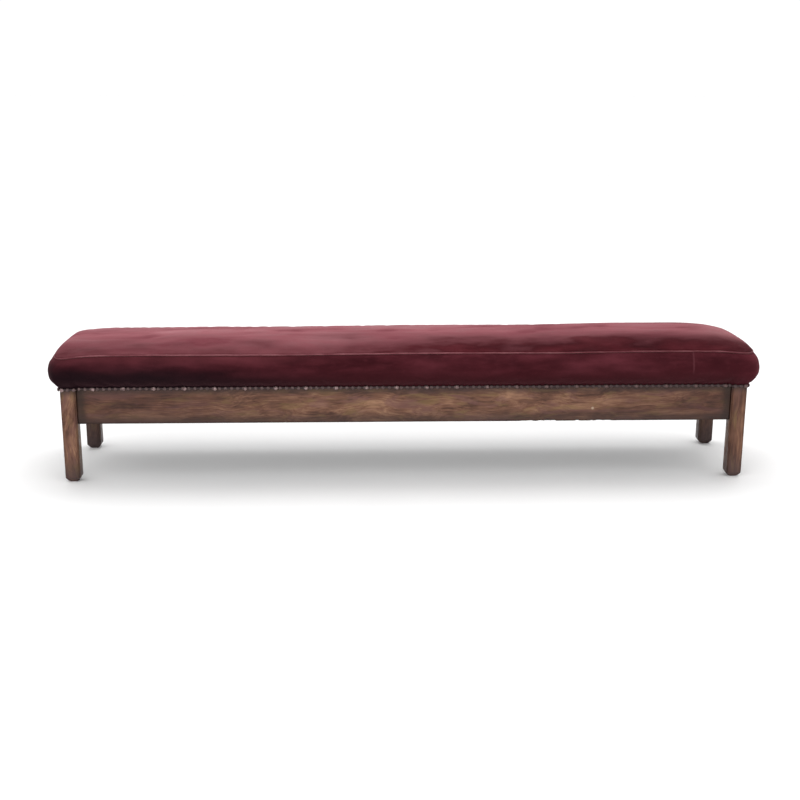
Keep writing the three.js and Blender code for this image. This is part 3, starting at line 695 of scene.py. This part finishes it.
def make_trim(side, quarter, half_run, leg_inner, face, random):
    rows, raised = pressed_band(half_run, leg_inner, face)
    points = turned(rows, quarter).reshape(-1, 3)
    mesh = mesh_from(f"trim_band_{side}", points, band_faces(*rows.shape[:2]))
    band = link_piece(mesh, f"nail_strip_{side}")
    relief = band.data.attributes.new("raised", "FLOAT", "POINT")
    relief.data.foreach_set("value", raised.astype(np.float32).ravel())
    x, out, _ = trim_line(half_run, leg_inner, face)
    points, faces = [], []
    for place in nail_places(half_run, leg_inner):
        head = nail_head_points(random)
        head[:, 0] += place + random.uniform(-NAIL_STRAY, NAIL_STRAY)
        head[:, 1] += np.interp(place, x, out) + STRIP_BASE + HEAD_HEIGHT / 4
        head[:, 2] += STRIP_Z + random.uniform(-NAIL_STRAY, NAIL_STRAY)
        faces += nail_head_faces(len(points) * len(head))
        points.append(turned(head, quarter))
    mesh = mesh_from(f"trim_nails_{side}", np.concatenate(points), faces)
    nails = link_piece(mesh, f"nail_strip_{side}")
    return band, nails


# ---------------------------------------------------------------- timber

CHAMFER_HEIGHT = 14 * MM  # of the CAD leg's foot
ROUND_HEIGHT = 24 * MM
ROUNDNESS = 0.4  # 0 keeps the straight chamfer, 1 makes it a quarter ellipse
RAGGED_MIDDLE, RAGGED_WIDTH = 0.54, 0.11  # where the front rail's lower edge is knocked about
BITE_DEPTH = 6.5 * MM
EDGE_WEAR = 0.8 * MM
FACE_WANDER = 0.15 * MM


def slice_shape(shape, axis, place):
    through, direction = Vector(), Vector()
    through[axis], direction[axis] = place, 1
    everything = [*shape.verts, *shape.edges, *shape.faces]
    bmesh.ops.bisect_plane(shape, geom=everything, dist=1e-6, plane_co=through, plane_no=direction)


def round_foot(points, low, high):
    """Wears a leg's foot rounder: its section grows from the sole partly along a quarter ellipse."""
    middle = (np.array(low) + np.array(high)) / 2
    full = (high.x - low.x) / 2
    sole = np.abs(points[points[:, 2] < low.z + 1 * MM][:, 0] - middle[0]).max()
    height = points[:, 2] - low.z
    now = sole + (full - sole) * np.clip(height / CHAMFER_HEIGHT, 0, 1)
    share = np.clip(height / ROUND_HEIGHT, 0, 1)
    ellipse = sole + (full - sole) * np.sqrt(1 - (1 - share) ** 2)
    wanted = now + ROUNDNESS * (ellipse - now)
    points[:, :2] = middle[:2] + (points[:, :2] - middle[:2]) * (wanted / now)[:, None]


def chip_lower_edge(points):
    """Small bites out of the front rail's lower edge, along one stretch of it."""
    low = 1 - smoothstep(points[:, 2], RAIL_BOTTOM + 1 * MM, RAIL_BOTTOM + 12 * MM)
    outer = 1 - smoothstep(points[:, 1], -RAIL_OUT_Y + 3 * MM, -RAIL_OUT_Y + 22 * MM)
    stretch = bump_at(points[:, 0], RAGGED_MIDDLE, RAGGED_WIDTH)
    bites = np.clip(3 * ripples(points, (18 * MM, 1, 1), 2.2), 0, 1)
    points[:, 2] += BITE_DEPTH * low * outer * stretch * bites


def finer_timber(name, pitch, bevel):
    """A copy of a wooden CAD node's mesh, sliced into a grid, with its edges bevelled."""
    low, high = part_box(name)
    shape = bmesh.new()
    shape.from_mesh(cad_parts[name].data)
    bmesh.ops.remove_doubles(shape, verts=shape.verts, dist=1e-5)
    bmesh.ops.dissolve_limit(shape, angle_limit=math.radians(1), verts=shape.verts, edges=shape.edges)
    for axis in range(3):
        cuts = max(int((high[axis] - low[axis]) / pitch), 1)
        for place in np.linspace(low[axis], high[axis], cuts + 1)[1:-1]:
            slice_shape(shape, axis, place)
    if name.startswith("leg"):
        for height in np.linspace(0, ROUND_HEIGHT, 9)[1:]:
            slice_shape(shape, 2, low.z + height)
    sharp = [e for e in shape.edges if e.is_manifold and e.is_convex and e.calc_face_angle(0) > 0.5]
    bmesh.ops.bevel(shape, geom=sharp, offset=bevel, segments=2, profile=0.5, affect="EDGES",
                    clamp_overlap=True)
    mesh = bpy.data.meshes.new("worn_" + name)
    shape.to_mesh(mesh)
    shape.free()
    mesh.update()
    return mesh


def worn_timber(name, pitch, bevel):
    """A rail or leg with eased, slightly chipped edges in place of the CAD's."""
    low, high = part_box(name)
    mesh = finer_timber(name, pitch, bevel)
    points, facing = coordinates(mesh), normals(mesh)
    on_edge = 1 - smoothstep(np.abs(facing).max(axis=1), 0.93, 0.999)
    chips = np.clip(ripples(points, 14 * MM, 4.4) - 0.05, 0, 1) + 0.25
    depth = EDGE_WEAR * on_edge * chips + FACE_WANDER * ripples(points, 45 * MM, 8.8)
    points -= facing * depth[:, None]
    points[:, 2] = np.maximum(points[:, 2], low.z)
    if name.startswith("leg"):
        round_foot(points, low, high)
    if name == "front_rail":
        chip_lower_edge(points)
    set_coordinates(mesh, points)
    return link_piece(mesh, name)


# ---------------------------------------------------------------- bottom cloth

HEM_INSET = 5 * MM  # of the cloth's turned edge, inside the CAD cloth's
SAG = 9 * MM
CREASE = 1.2 * MM
CLOTH_THICKNESS = 0.6 * MM


def make_bottom_cloth():
    """Black cloth tacked under the rails, notched round the legs, sagging a little in the middle."""
    half_x, half_y = CLOTH_HIGH.x - HEM_INSET, CLOTH_HIGH.y - HEM_INSET
    notch_x, notch_y = LEG_INNER_X - COVER_GAP, LEG_INNER_Y - COVER_GAP
    xs = np.concatenate([[-half_x], np.linspace(-notch_x, notch_x, 160), [half_x]])
    ys = np.concatenate([[-half_y], np.linspace(-notch_y, notch_y, 26), [half_y]])
    x, y = np.meshgrid(xs, ys)
    inset_x = np.clip((half_x - np.abs(x)) / half_x, 0, 1)
    inset_y = np.clip((half_y - np.abs(y)) / half_y, 0, 1)
    sag = SAG * np.clip(inset_x * 9, 0, 1) ** 0.7 * smoothstep(inset_y, 0.1, 1.0)
    flat = np.column_stack([x.ravel(), y.ravel(), np.zeros(x.size)])
    crease = CREASE * np.clip(inset_y.ravel() * 5, 0, 1) * ripples(flat, (0.05, 0.3, 1), 6.0)
    z = CLOTH_HIGH.z - sag.ravel() + crease - 0.3 * MM
    z = np.minimum(z, CLOTH_HIGH.z)
    points = np.column_stack([flat[:, :2], z])
    faces = []
    for face in grid_faces(len(ys), len(xs)):
        middle = points[list(face)].mean(axis=0)
        if abs(middle[0]) < notch_x or abs(middle[1]) < notch_y:
            faces.append(face)
    used = sorted({v for face in faces for v in face})
    number = {v: i for i, v in enumerate(used)}
    mesh = mesh_from("underside_cloth", points[used], [[number[v] for v in face] for face in faces])
    piece = link_piece(mesh, "bottom_cloth")
    thicken(piece, CLOTH_THICKNESS)
    return piece


# ---------------------------------------------------------------- materials

def colour(red, green, blue):
    """A shader colour from the 0 to 255 numbers of a screen colour."""
    def linear(value):
        share = value / 255
        return share / 12.92 if share <= 0.04045 else ((share + 0.055) / 1.055) ** 2.4
    return (linear(red), linear(green), linear(blue), 1.0)


class Shader:
    """A material and short ways to add nodes to it. Inputs are numbers, colours or other nodes' outputs."""

    def __init__(self, name):
        self.material = bpy.data.materials.new(name)
        self.material.use_nodes = True
        self.tree = self.material.node_tree
        self.tree.nodes.clear()
        self.output = self.tree.nodes.new("ShaderNodeOutputMaterial")
        self.place = self.node("TexCoord").outputs["Object"]

    def node(self, kind, inputs=None, **settings):
        made = self.tree.nodes.new("ShaderNode" + kind)
        set_all(made, settings)
        for key, value in (inputs or {}).items():
            if isinstance(value, bpy.types.NodeSocket):
                self.tree.links.new(value, made.inputs[key])
            else:
                made.inputs[key].default_value = value
        return made

    def math(self, operation, first, second=0.0, third=0.0, clamp=False):
        made = self.node("Math", {0: first, 1: second, 2: third}, operation=operation, use_clamp=clamp)
        return made.outputs[0]

    def times(self, first, second):
        return self.math("MULTIPLY", first, second)

    def plus(self, first, second):
        return self.math("ADD", first, second)

    def apart(self, first, second):
        """How far two values are apart."""
        return self.math("ABSOLUTE", self.math("SUBTRACT", first, second))

    def scaled(self, scale, place=None):
        """The object's coordinates times a number for each axis."""
        made = self.node("Mapping", {"Vector": place or self.place, "Scale": scale})
        return made.outputs[0]

    def noise(self, size, detail=3.0, roughness=0.55, distortion=0.0, place=None):
        """Noise whose lumps are about size metres along each axis."""
        sizes = (size,) * 3 if isinstance(size, float) else size
        made = self.node("TexNoise", {
            "Vector": self.scaled(tuple(1 / s for s in sizes), place), "Scale": 1.0, "Detail": detail,
            "Roughness": roughness, "Distortion": distortion})
        return made.outputs["Fac"]

    def ramp(self, value, low, high, start=0.0, end=1.0):
        """A smooth step of value from low to high, going from start to end."""
        made = self.node("MapRange", {"Value": value, "From Min": low, "From Max": high,
                                      "To Min": start, "To Max": end}, interpolation_type="SMOOTHSTEP")
        return made.outputs[0]

    def colours(self, value, stops):
        """A colour that follows value through the stops, each a place and a colour."""
        made = self.node("ValToRGB", {"Fac": value})
        ramp = made.color_ramp
        while len(ramp.elements) < len(stops):
            ramp.elements.new(0.5)
        for element, (place, stop) in zip(ramp.elements, stops):
            element.position = place
            element.color = stop
        return made.outputs["Color"]

    def mix(self, share, first, second, blend="MIX"):
        made = self.node("Mix", {0: share, 6: first, 7: second}, data_type="RGBA", blend_type=blend)
        return made.outputs[2]

    def coats(self, base, *coats):
        """base under one coat after another, each a share and a colour."""
        for share, tone in coats:
            base = self.mix(share, base, tone)
        return base

    def axes(self):
        made = self.node("SeparateXYZ", {0: self.place})
        return made.outputs

    def bump(self, height, distance, strength=1.0, below=None):
        inputs = {"Height": height, "Distance": distance, "Strength": strength}
        if below is not None:
            inputs["Normal"] = below
        return self.node("Bump", inputs).outputs["Normal"]

    def finish(self, base, rough, normal, **numbers):
        """Wires up the surface. numbers are set on the shader's own sockets, which stay unlinked."""
        surface = self.node("BsdfPrincipled", {"Base Color": base, "Roughness": rough, "Normal": normal})
        for key, value in numbers.items():
            surface.inputs[key.replace("_", " ")].default_value = value
        self.tree.links.new(surface.outputs[0], self.output.inputs["Surface"])
        return self.material


def velvet_nap(s):
    """Worn pile: brushed patches, lesser ones and the mean of both, crushed marks and single tufts, each
    as a 0 to 1 value, and the relief that they and faint rows make."""
    brushed = s.noise((0.30, 0.10, 0.05), 4.0, 0.5, 0.2)
    patches = s.noise((0.13, 0.08, 0.04), 2.0, 0.45, 0.15)
    tone = s.plus(s.times(brushed, 0.5), s.times(patches, 0.5))
    crush = s.noise((0.03, 0.012, 0.012), 3.0, 0.6)
    pile = s.noise(0.0009, 2.0, 0.7)
    rows = s.noise((0.02, 0.0012, 0.0012), 2.0, 0.6)
    relief = s.bump(rows, 0.35 * MM, 0.35, s.bump(pile, 0.5 * MM, 0.55))
    return brushed, patches, tone, crush, pile, s.bump(crush, 1.5 * MM, 0.35, relief)


def top_velvet():
    """The seat: a painted sheen makes it pale and pinkish at the back, and painted shade makes it deeper red
    towards the front edge, most of all on the right."""
    s = Shader("velvet_top")
    x, y, _ = s.axes()
    brushed, patches, tone, crush, pile, relief = velvet_nap(s)
    # Painted sheen and shade: the pale pinkish tones stand for the sheen on the rear of the top, the deep
    # reds for the shade towards the front.
    painted_sheen_pale = s.colours(tone, [(0.36, colour(114, 57, 65)), (0.50, colour(145, 85, 92)),
                             (0.64, colour(168, 112, 118))])
    painted_shade_deep = s.colours(tone, [(0.37, colour(42, 7, 13)), (0.50, colour(60, 13, 20)),
                            (0.63, colour(78, 25, 32))])
    wander = s.math("SUBTRACT", s.math("MULTIPLY_ADD", patches, 1.6, s.times(brushed, 0.4)), 1.0)
    # Painted shade: the mix goes to the deep red towards the front, most on the right half and a little at
    # the left end.
    front_shade = s.ramp(y, -1.1 * SEAM_Y, 0.3 * SEAM_Y, 0.60, 0.0)
    right_shade = s.times(s.ramp(x, -0.35 * SEAM_X, 0.6 * SEAM_X, 0.0, 0.68),
                       s.ramp(y, -0.92 * SEAM_Y, -0.08 * SEAM_Y, 1.0, 0.0))
    left_end_shade = s.times(s.ramp(x, -SEAM_X, -0.6 * SEAM_X, 0.22, 0.0),
                      s.ramp(y, -0.9 * SEAM_Y, 0.2 * SEAM_Y, 1.0, 0.0))
    share = s.math("ADD", s.plus(front_shade, right_shade), s.plus(left_end_shade, wander), clamp=True)
    # Painted highlight down the shoulder at the right end.
    shoulder_highlight = s.times(s.ramp(x, 0.78 * SEAM_X, 0.94 * SEAM_X, 0.0, 0.35),
                       s.ramp(y, -0.8 * SEAM_Y, -0.2 * SEAM_Y))
    base = s.coats(
        s.mix(share, painted_sheen_pale, painted_shade_deep),
        # The crush marks take their colour from the painted sheen and shade.
        (s.ramp(crush, 0.45, 0.75, 0.0, 0.14), s.mix(share, colour(150, 92, 98), colour(96, 42, 49))),
        # Painted sheen: paler still towards the back.
        (s.ramp(y, 0.3 * SEAM_Y, 0.95 * SEAM_Y, 0.0, 0.4), colour(160, 112, 118)),
        (shoulder_highlight, colour(152, 104, 106)),
        (s.ramp(pile, 0.3, 0.7, 0.25, 0.0), colour(50, 12, 18)))
    rough = s.ramp(brushed, 0.3, 0.7, 0.95, 0.8)
    return s.finish(base, rough, relief, Sheen_Weight=0.12,
                    Sheen_Roughness=0.36, Sheen_Tint=colour(220, 140, 150), Specular_IOR_Level=0.05)


def side_velvet():
    """The border: deeper red than the top; painted shade makes it darkest low down and at the left end, a
    painted highlight lies just under the welt, and painted light falls on the right end.
    """
    s = Shader("velvet_side")
    x, y, z = s.axes()
    brushed, patches, tone, crush, pile, relief = velvet_nap(s)
    base = s.colours(tone, [(0.36, colour(54, 16, 22)), (0.50, colour(72, 26, 33)),
                            (0.64, colour(90, 38, 46))])
    # Painted highlight just under the welt, on the left half.
    high = s.ramp(z, WELT_Z - 40 * MM, WELT_Z - 8 * MM)
    highlight_under_welt = s.times(high, s.ramp(x, -0.6 * SEAM_X, -0.1 * SEAM_X, 0.25, 0.0))
    # Painted shade: darker towards the bottom, the dark reaching higher at the left end and darkest there.
    shifted = s.plus(z, s.times(s.math("SUBTRACT", patches, 0.5), 40 * MM))
    shifted = s.plus(shifted, s.ramp(x, -0.85 * SEAM_X, -0.25 * SEAM_X, -20 * MM, 0.0))
    low = s.ramp(shifted, FRAME_TOP - 5 * MM, WELT_Z - 5 * MM, 0.95, 0.0)
    painted_shade_dark = s.mix(s.ramp(x, -0.7 * SEAM_X, 0.0), colour(20, 9, 14), colour(52, 17, 22))
    # Painted light: the right end is redder and brighter.
    end = s.times(s.ramp(x, 0.92 * SEAM_X, 1.01 * SEAM_X), s.ramp(brushed, 0.35, 0.7, 0.15, 0.6))
    base = s.coats(
        base,
        (highlight_under_welt, colour(122, 62, 68)),
        (s.ramp(crush, 0.45, 0.75, 0.0, 0.25), colour(98, 44, 52)),
        (s.ramp(pile, 0.3, 0.7, 0.28, 0.0), colour(34, 12, 18)),
        (low, painted_shade_dark),
        (join_mark(s, x, y, z), colour(112, 66, 72)),
        (end, colour(102, 40, 50)))
    rough = s.ramp(brushed, 0.3, 0.7, 0.98, 0.85)
    return s.finish(base, rough, relief, Sheen_Weight=0.14,
                    Sheen_Roughness=0.4, Sheen_Tint=colour(205, 140, 150), Specular_IOR_Level=0.06)


JOIN_X = 0.945  # where a faint paler line runs up the front of the border, like a join in its length


def join_mark(s, x, y, z):
    away = s.apart(x, JOIN_X)
    line = s.ramp(away, 0.5 * MM, 4.5 * MM, 0.28, 0.0)
    line = s.times(line, s.ramp(y, -0.5 * HALF_DEPTH, 0.0, 1.0, 0.0))
    return s.times(line, s.ramp(z, FRAME_TOP + 20 * MM, FRAME_TOP + 50 * MM))


def welt_velvet():
    """The piping is paler than the border: its pile is rubbed thin, so its paler ground shows, and a painted
    highlight runs along the cord.
    """
    s = Shader("velvet_welt")
    x, _, _ = s.axes()
    rub = s.noise((0.05, 0.05, 0.004), 4.0, 0.6)
    ribs = s.noise((0.0012, 0.0012, 0.01), 2.0, 0.6)
    # Partly rubbed pile and partly a painted highlight along the cord, brighter on the left half.
    worn_and_highlit = s.mix(s.ramp(rub, 0.35, 0.65), colour(108, 57, 63), colour(136, 84, 89))
    fresh_and_highlit = s.mix(s.ramp(rub, 0.35, 0.65), colour(96, 48, 53), colour(124, 76, 80))
    base = s.mix(s.ramp(x, 0.05 * SEAM_X, 0.5 * SEAM_X), worn_and_highlit, fresh_and_highlit)
    to_end = s.ramp(s.math("ABSOLUTE", x), 0.88 * SEAM_X, 0.98 * SEAM_X, 0.0, 0.6)
    base = s.mix(to_end, base, colour(88, 40, 46))
    base = s.mix(s.ramp(ribs, 0.35, 0.65, 0.3, 0.0), base, colour(62, 26, 32))
    rough = s.ramp(rub, 0.3, 0.7, 0.95, 0.8)
    return s.finish(base, rough, s.bump(ribs, 0.4 * MM, 0.5), Sheen_Weight=0.25, Sheen_Roughness=0.4,
                    Sheen_Tint=colour(214, 170, 174), Specular_IOR_Level=0.1)


def wood_material(name, axis, dark, brown, light, is_polished=True):
    """Timber with its grain along one axis: contour figure, streaks, open pores, grime and painted shade,
    and rubbed edges.
    """
    s = Shader(name)

    def grain(along, across):
        """The size of a figure that is drawn out along the grain."""
        return tuple(along if k == axis else across for k in range(3))

    drift = s.times(s.noise(grain(0.35, 0.25), 2.0, 0.5), 0.15)
    drifts = s.node("CombineXYZ", {0: drift, 1: drift, 2: drift}).outputs[0]
    drifted = s.node("VectorMath", {0: s.place, 1: drifts}, operation="ADD").outputs[0]
    swirl = s.noise(grain(0.65, 0.07), 1.0, 0.4, 0.3, drifted)
    figure = s.math("SINE", s.times(swirl, 22.0))
    figure = s.math("MULTIPLY_ADD", figure, 0.5, 0.5)
    streaks = s.noise(grain(0.13, 0.0048), 4.0, 0.62, 0.25, drifted)
    patch = s.noise(grain(0.13, 0.04), 3.0, 0.6)
    pores = s.noise(grain(0.014, 0.0007), 2.0, 0.6, 0.0, drifted)
    pore = s.ramp(pores, 0.60, 0.70)
    tone = s.plus(s.times(figure, 0.10), s.times(streaks, 0.42))
    tone = s.plus(tone, s.times(patch, 0.50))
    base = s.colours(tone, [(0.38, dark), (0.51, brown), (0.65, light)])
    base = s.mix(s.times(pore, 0.4), base, dark)
    if is_polished:
        olive = s.noise(grain(0.11, 0.025), 3.0, 0.6, 0.4)
        rosy = s.noise(grain(0.19, 0.03), 3.0, 0.6, 0.4, drifted)
        base = s.mix(s.ramp(olive, 0.50, 0.66, 0.0, 0.50), base, colour(126, 100, 64))
        base = s.mix(s.ramp(rosy, 0.48, 0.64, 0.0, 0.50), base, colour(112, 76, 72))
        base = add_grime_and_shade(s, base)
    normal = s.bump(pore, 0.25 * MM, 0.6)
    normal = s.bump(streaks, 0.4 * MM, 0.35, normal)
    low_rough, high_rough = (0.38, 0.62) if is_polished else (0.75, 0.92)
    rough = s.ramp(s.noise(0.03, 4.0, 0.6), 0.3, 0.7, low_rough, high_rough)
    return s.finish(base, rough, normal, Specular_IOR_Level=0.25 if is_polished else 0.15)


FLECK = (0.624, -RAIL_OUT_Y, RAIL_BOTTOM + 44 * MM)  # one small pale knock on the front rail


def add_grime_and_shade(s, base):
    """Painted shadow under the trim, painted shade with some grime by the joints, painted shade on the rear
    half and towards the ends; darker along lower edges and towards the feet; paler on rubbed corners.
    """
    x, y, z = s.axes()
    wander = s.noise(0.02, 3.0, 0.6)
    shifted = s.plus(z, s.times(wander, 8 * MM))
    side_x = s.math("SUBTRACT", s.math("ABSOLUTE", x), LEG_INNER_X)
    # Painted shadow of the trim and border on the wood below it.
    under_trim_shadow = s.ramp(shifted, STRIP_LOW.z - 20 * MM, STRIP_LOW.z + 4 * MM, 0.0, 0.65)
    # Painted shade, with some grime, on the rails beside each leg.
    reach = s.plus(side_x, s.times(wander, 24 * MM))
    joint_shade_and_grime = s.times(s.ramp(reach, -30 * MM, -4 * MM), s.ramp(side_x, -1 * MM, 0.5 * MM, 1.0, 0.0))
    foot = s.ramp(shifted, 4 * MM, 120 * MM, 0.8, 0.0)
    edge = s.times(s.ramp(shifted, RAIL_BOTTOM, RAIL_BOTTOM + 55 * MM, 0.75, 0.0),
                  s.ramp(z, RAIL_BOTTOM - 3 * MM, RAIL_BOTTOM - 1 * MM, 0.0, 1.0))
    edge = s.times(edge, s.ramp(side_x, -2 * MM, 1 * MM, 1.0, 0.0))
    shade = colour(48, 36, 34)
    # Painted shade: darker towards both ends, more to the right, less on the legs.
    along = s.math("MULTIPLY_ADD", x, -0.12, s.math("ABSOLUTE", x))
    along = s.plus(along, s.times(wander, 0.2))
    on_legs = s.ramp(side_x, -1 * MM, 1 * MM, 1.0, 0.25)
    darker = s.times(s.ramp(along, 0.35, 1.05), on_legs)
    base = s.mix(darker, base, colour(200, 190, 194), "MULTIPLY")
    rub_x = s.apart(s.math("ABSOLUTE", x), LEG_MIDDLE_X)
    rub_y = s.apart(s.math("ABSOLUTE", y), LEG_MIDDLE_Y)
    by_side, by_front = (s.ramp(rub, LEG_HALF - 4 * MM, LEG_HALF) for rub in (rub_x, rub_y))
    rubbed = s.times(by_side, by_front)
    rubbed = s.times(rubbed, s.ramp(wander, 0.42, 0.62, 0.0, 0.5))
    from_fleck = s.node("VectorMath", {0: s.place, 1: FLECK}, operation="DISTANCE").outputs["Value"]
    return s.coats(
        base,
        (under_trim_shadow, shade),
        (s.times(joint_shade_and_grime, 0.75), colour(38, 26, 20)),
        (foot, colour(68, 54, 54)),
        # Painted shade on the rear half of the frame.
        (s.ramp(y, 0.0, LEG_INNER_Y, 0.0, 0.52), colour(42, 34, 36)),
        (edge, shade),
        (rubbed, colour(150, 120, 98)),
        (s.ramp(from_fleck, 1 * MM, 7 * MM, 0.7, 0.0), colour(186, 166, 144)))


def metal_material(name, dull, bright, grit, metallic, right_end_shade=None, dirt=None):
    """Aged metal. With a right_end_shade colour, painted shade makes it duller towards the right end of the
    bench.
    With a dirt colour, that gathers where a band isn't raised."""
    s = Shader(name)
    tarnish = s.noise(0.006, 4.0, 0.65)
    specks = s.noise(0.0014, 2.0, 0.6)
    base = s.mix(s.ramp(tarnish, 0.35, 0.7), dull, bright)
    base = s.mix(s.ramp(specks, 0.58, 0.72, 0.0, 0.5), base, dull)
    if right_end_shade:
        x, _, _ = s.axes()
        # Painted shade: duller towards the right end.
        base = s.mix(s.ramp(x, -0.2 * SEAM_X, 0.5 * SEAM_X, 0.0, 0.85), base, right_end_shade)
    if dirt:
        raised = s.node("Attribute", attribute_name="raised").outputs["Fac"]
        base = s.mix(s.ramp(raised, 0.15, 0.8, 0.9, 0.0), base, dirt)
    rough = s.ramp(tarnish, 0.3, 0.7, 0.5, 0.3)
    return s.finish(base, rough, s.bump(specks, grit, 0.5), Metallic=metallic)


def woven_material(name, dark, light, pitch, rough_at, relief):
    """Plain weave: two sets of threads crossing, with slubs and stray darker threads."""
    s = Shader(name)
    x, y, _ = s.axes()
    turn = math.pi / pitch
    wave_x, wave_y = (s.math("ABSOLUTE", s.math("SINE", s.times(k, turn))) for k in (x, y))
    thread = s.times(wave_x, wave_y)
    slubs = s.noise((0.004, 0.03, 0.03), 3.0, 0.6)
    base = s.mix(s.ramp(thread, 0.1, 0.8), dark, light)
    base = s.mix(s.ramp(slubs, 0.4, 0.7, 0.0, 0.5), base, dark)
    rough = s.ramp(slubs, 0.3, 0.7, rough_at, 1.0)
    return s.finish(base, rough, s.bump(thread, relief, 0.7), Sheen_Weight=0.2, Specular_IOR_Level=0.1)


def fibre_material(name, dark, light):
    s = Shader(name)
    hair = s.noise((0.012, 0.0012, 0.0012), 4.0, 0.7, 3.0)
    clumps = s.noise(0.025, 3.0, 0.6)
    base = s.mix(s.times(hair, clumps), dark, light)
    return s.finish(base, s.ramp(hair, 0.3, 0.7, 0.85, 1.0), s.bump(hair, 1.5 * MM, 0.8), Sheen_Weight=0.3)


def floor_material():
    s = Shader("pale_floor")
    grain = s.noise(0.4, 4.0, 0.5)
    base = s.mix(grain, colour(248, 248, 248), colour(253, 253, 253))
    return s.finish(base, s.ramp(grain, 0.3, 0.7, 0.75, 0.85), s.bump(grain, 0.2 * MM, 0.2))


def paint(piece, material):
    piece.data.materials.clear()
    piece.data.materials.append(material)


# ---------------------------------------------------------------- camera, light and floor

CAMERA_PLACE = Vector((-0.173, -4.373, 1.439))
CAMERA_PAN = math.radians(2.076)
CAMERA_TILT = math.radians(15.56)
CAMERA_ROLL = math.radians(0.197)
CAMERA_LENS = 58.64


def make_camera():
    camera = link("camera", bpy.data.cameras.new("camera"))
    level = Euler((math.pi / 2 - CAMERA_TILT, 0, -CAMERA_PAN)).to_matrix()
    aim = level @ Matrix.Rotation(CAMERA_ROLL, 3, "Z")
    camera.matrix_world = Matrix.Translation(CAMERA_PLACE) @ aim.to_4x4()
    camera.data.lens = CAMERA_LENS
    camera.data.sensor_width = 36
    bpy.context.scene.camera = camera


LIT_POINT = Vector((0, 0, 0.3))


def make_light(name, place, size, power):
    light = link(name, bpy.data.lights.new(name, "AREA"))
    light.data.shape = "RECTANGLE"
    light.data.size, light.data.size_y = size
    light.data.energy = power
    light.location = place
    light.rotation_euler = (LIT_POINT - Vector(place)).to_track_quat("-Z", "Y").to_euler()


def make_surroundings():
    scene = bpy.context.scene
    scene.view_settings.view_transform = "Standard"
    world = bpy.data.worlds.new("surroundings")
    world.use_nodes = True
    background = world.node_tree.nodes["Background"]
    background.inputs["Color"].default_value = (1.0, 1.0, 1.0, 1)
    background.inputs["Strength"].default_value = 1.05
    scene.world = world
    make_light("overhead", (0.2, 0.9, 3.2), (4.0, 2.0), 45)
    make_light("front", (-1.6, -4.0, 2.6), (2.5, 1.5), 25)
    half = 30.0
    points = [(-half, -half, 0), (half, -half, 0), (half, half, 0), (-half, half, 0)]
    floor = link("floor", mesh_from("floor", points, [(0, 1, 2, 3)]))
    paint(floor, floor_material())


# ---------------------------------------------------------------- the bench

def make_upholstery():
    panel, border, cord, pad = make_seat_panel(), make_border(), make_welt(), make_stuffing()
    paint(panel, top_velvet())
    paint(border, side_velvet())
    paint(cord, welt_velvet())
    paint(pad, fibre_material("stuffing_fibre", colour(120, 104, 84), colour(205, 192, 168)))


def make_trims():
    band_metal = metal_material("trim_metal", colour(62, 45, 45), colour(104, 82, 80), 0.15 * MM, 0.3,
                                right_end_shade=colour(62, 44, 43), dirt=colour(38, 20, 22))
    nail_metal = metal_material("nail_metal", colour(106, 84, 84), colour(168, 144, 142), 0.1 * MM, 0.5,
                                right_end_shade=colour(84, 62, 60))
    random = np.random.default_rng(11)
    along = (STRIP_HALF_X, LEG_INNER_X, HALF_DEPTH + TRIM_OUT)
    across = (STRIP_HALF_Y, LEG_INNER_Y, HALF_LENGTH + TRIM_OUT)
    for quarter, side in enumerate(("front", "right", "rear", "left")):
        band, nails = make_trim(side, quarter, *(across if quarter % 2 else along), random)
        paint(band, band_metal)
        paint(nails, nail_metal)


def make_timber():
    tones = (colour(76, 48, 36), colour(114, 78, 60), colour(152, 114, 88))
    woods = [wood_material(f"polished_wood_{axis}", k, *tones) for k, axis in enumerate("xyz")]
    for name, axis in (("front_rail", 0), ("rear_rail", 0), ("left_end_rail", 1), ("right_end_rail", 1)):
        pitch = 7 * MM if name == "front_rail" else 14 * MM
        paint(worn_timber(name, pitch, 1.0 * MM), woods[axis])
    for corner in ("front_left", "front_right", "rear_left", "rear_right"):
        paint(worn_timber("leg_" + corner, 14 * MM, 1.0 * MM), woods[2])


def paint_hidden_nodes():
    plain = (colour(122, 98, 66), colour(166, 138, 98), colour(196, 172, 132))
    bare_y = wood_material("plain_wood_y", 1, *plain, is_polished=False)
    bare_x = wood_material("plain_wood_x", 0, *plain, is_polished=False)
    steel = metal_material("screw_steel", colour(96, 92, 88), colour(168, 166, 162), 0.05 * MM, 1.0)
    jute = woven_material("jute_webbing", colour(120, 92, 54), colour(184, 154, 106), 2.2 * MM,
                          0.85, 0.6 * MM)
    hessian = woven_material("hessian", colour(104, 80, 46), colour(170, 140, 92), 1.8 * MM,
                             0.85, 0.5 * MM)
    finishes = (("cross_bearer", bare_y), ("corner_block", bare_x), ("block_screw", steel),
                ("webbing", jute), ("hessian", hessian))
    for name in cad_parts:
        for start, material in finishes:
            if name.startswith(start):
                paint(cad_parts[name], material)


make_camera()
make_surroundings()
make_timber()
make_trims()
make_upholstery()
black = woven_material("black_cloth", colour(14, 14, 15), colour(44, 43, 44), 1.2 * MM, 0.85, 0.2 * MM)
paint(make_bottom_cloth(), black)
paint_hidden_nodes()
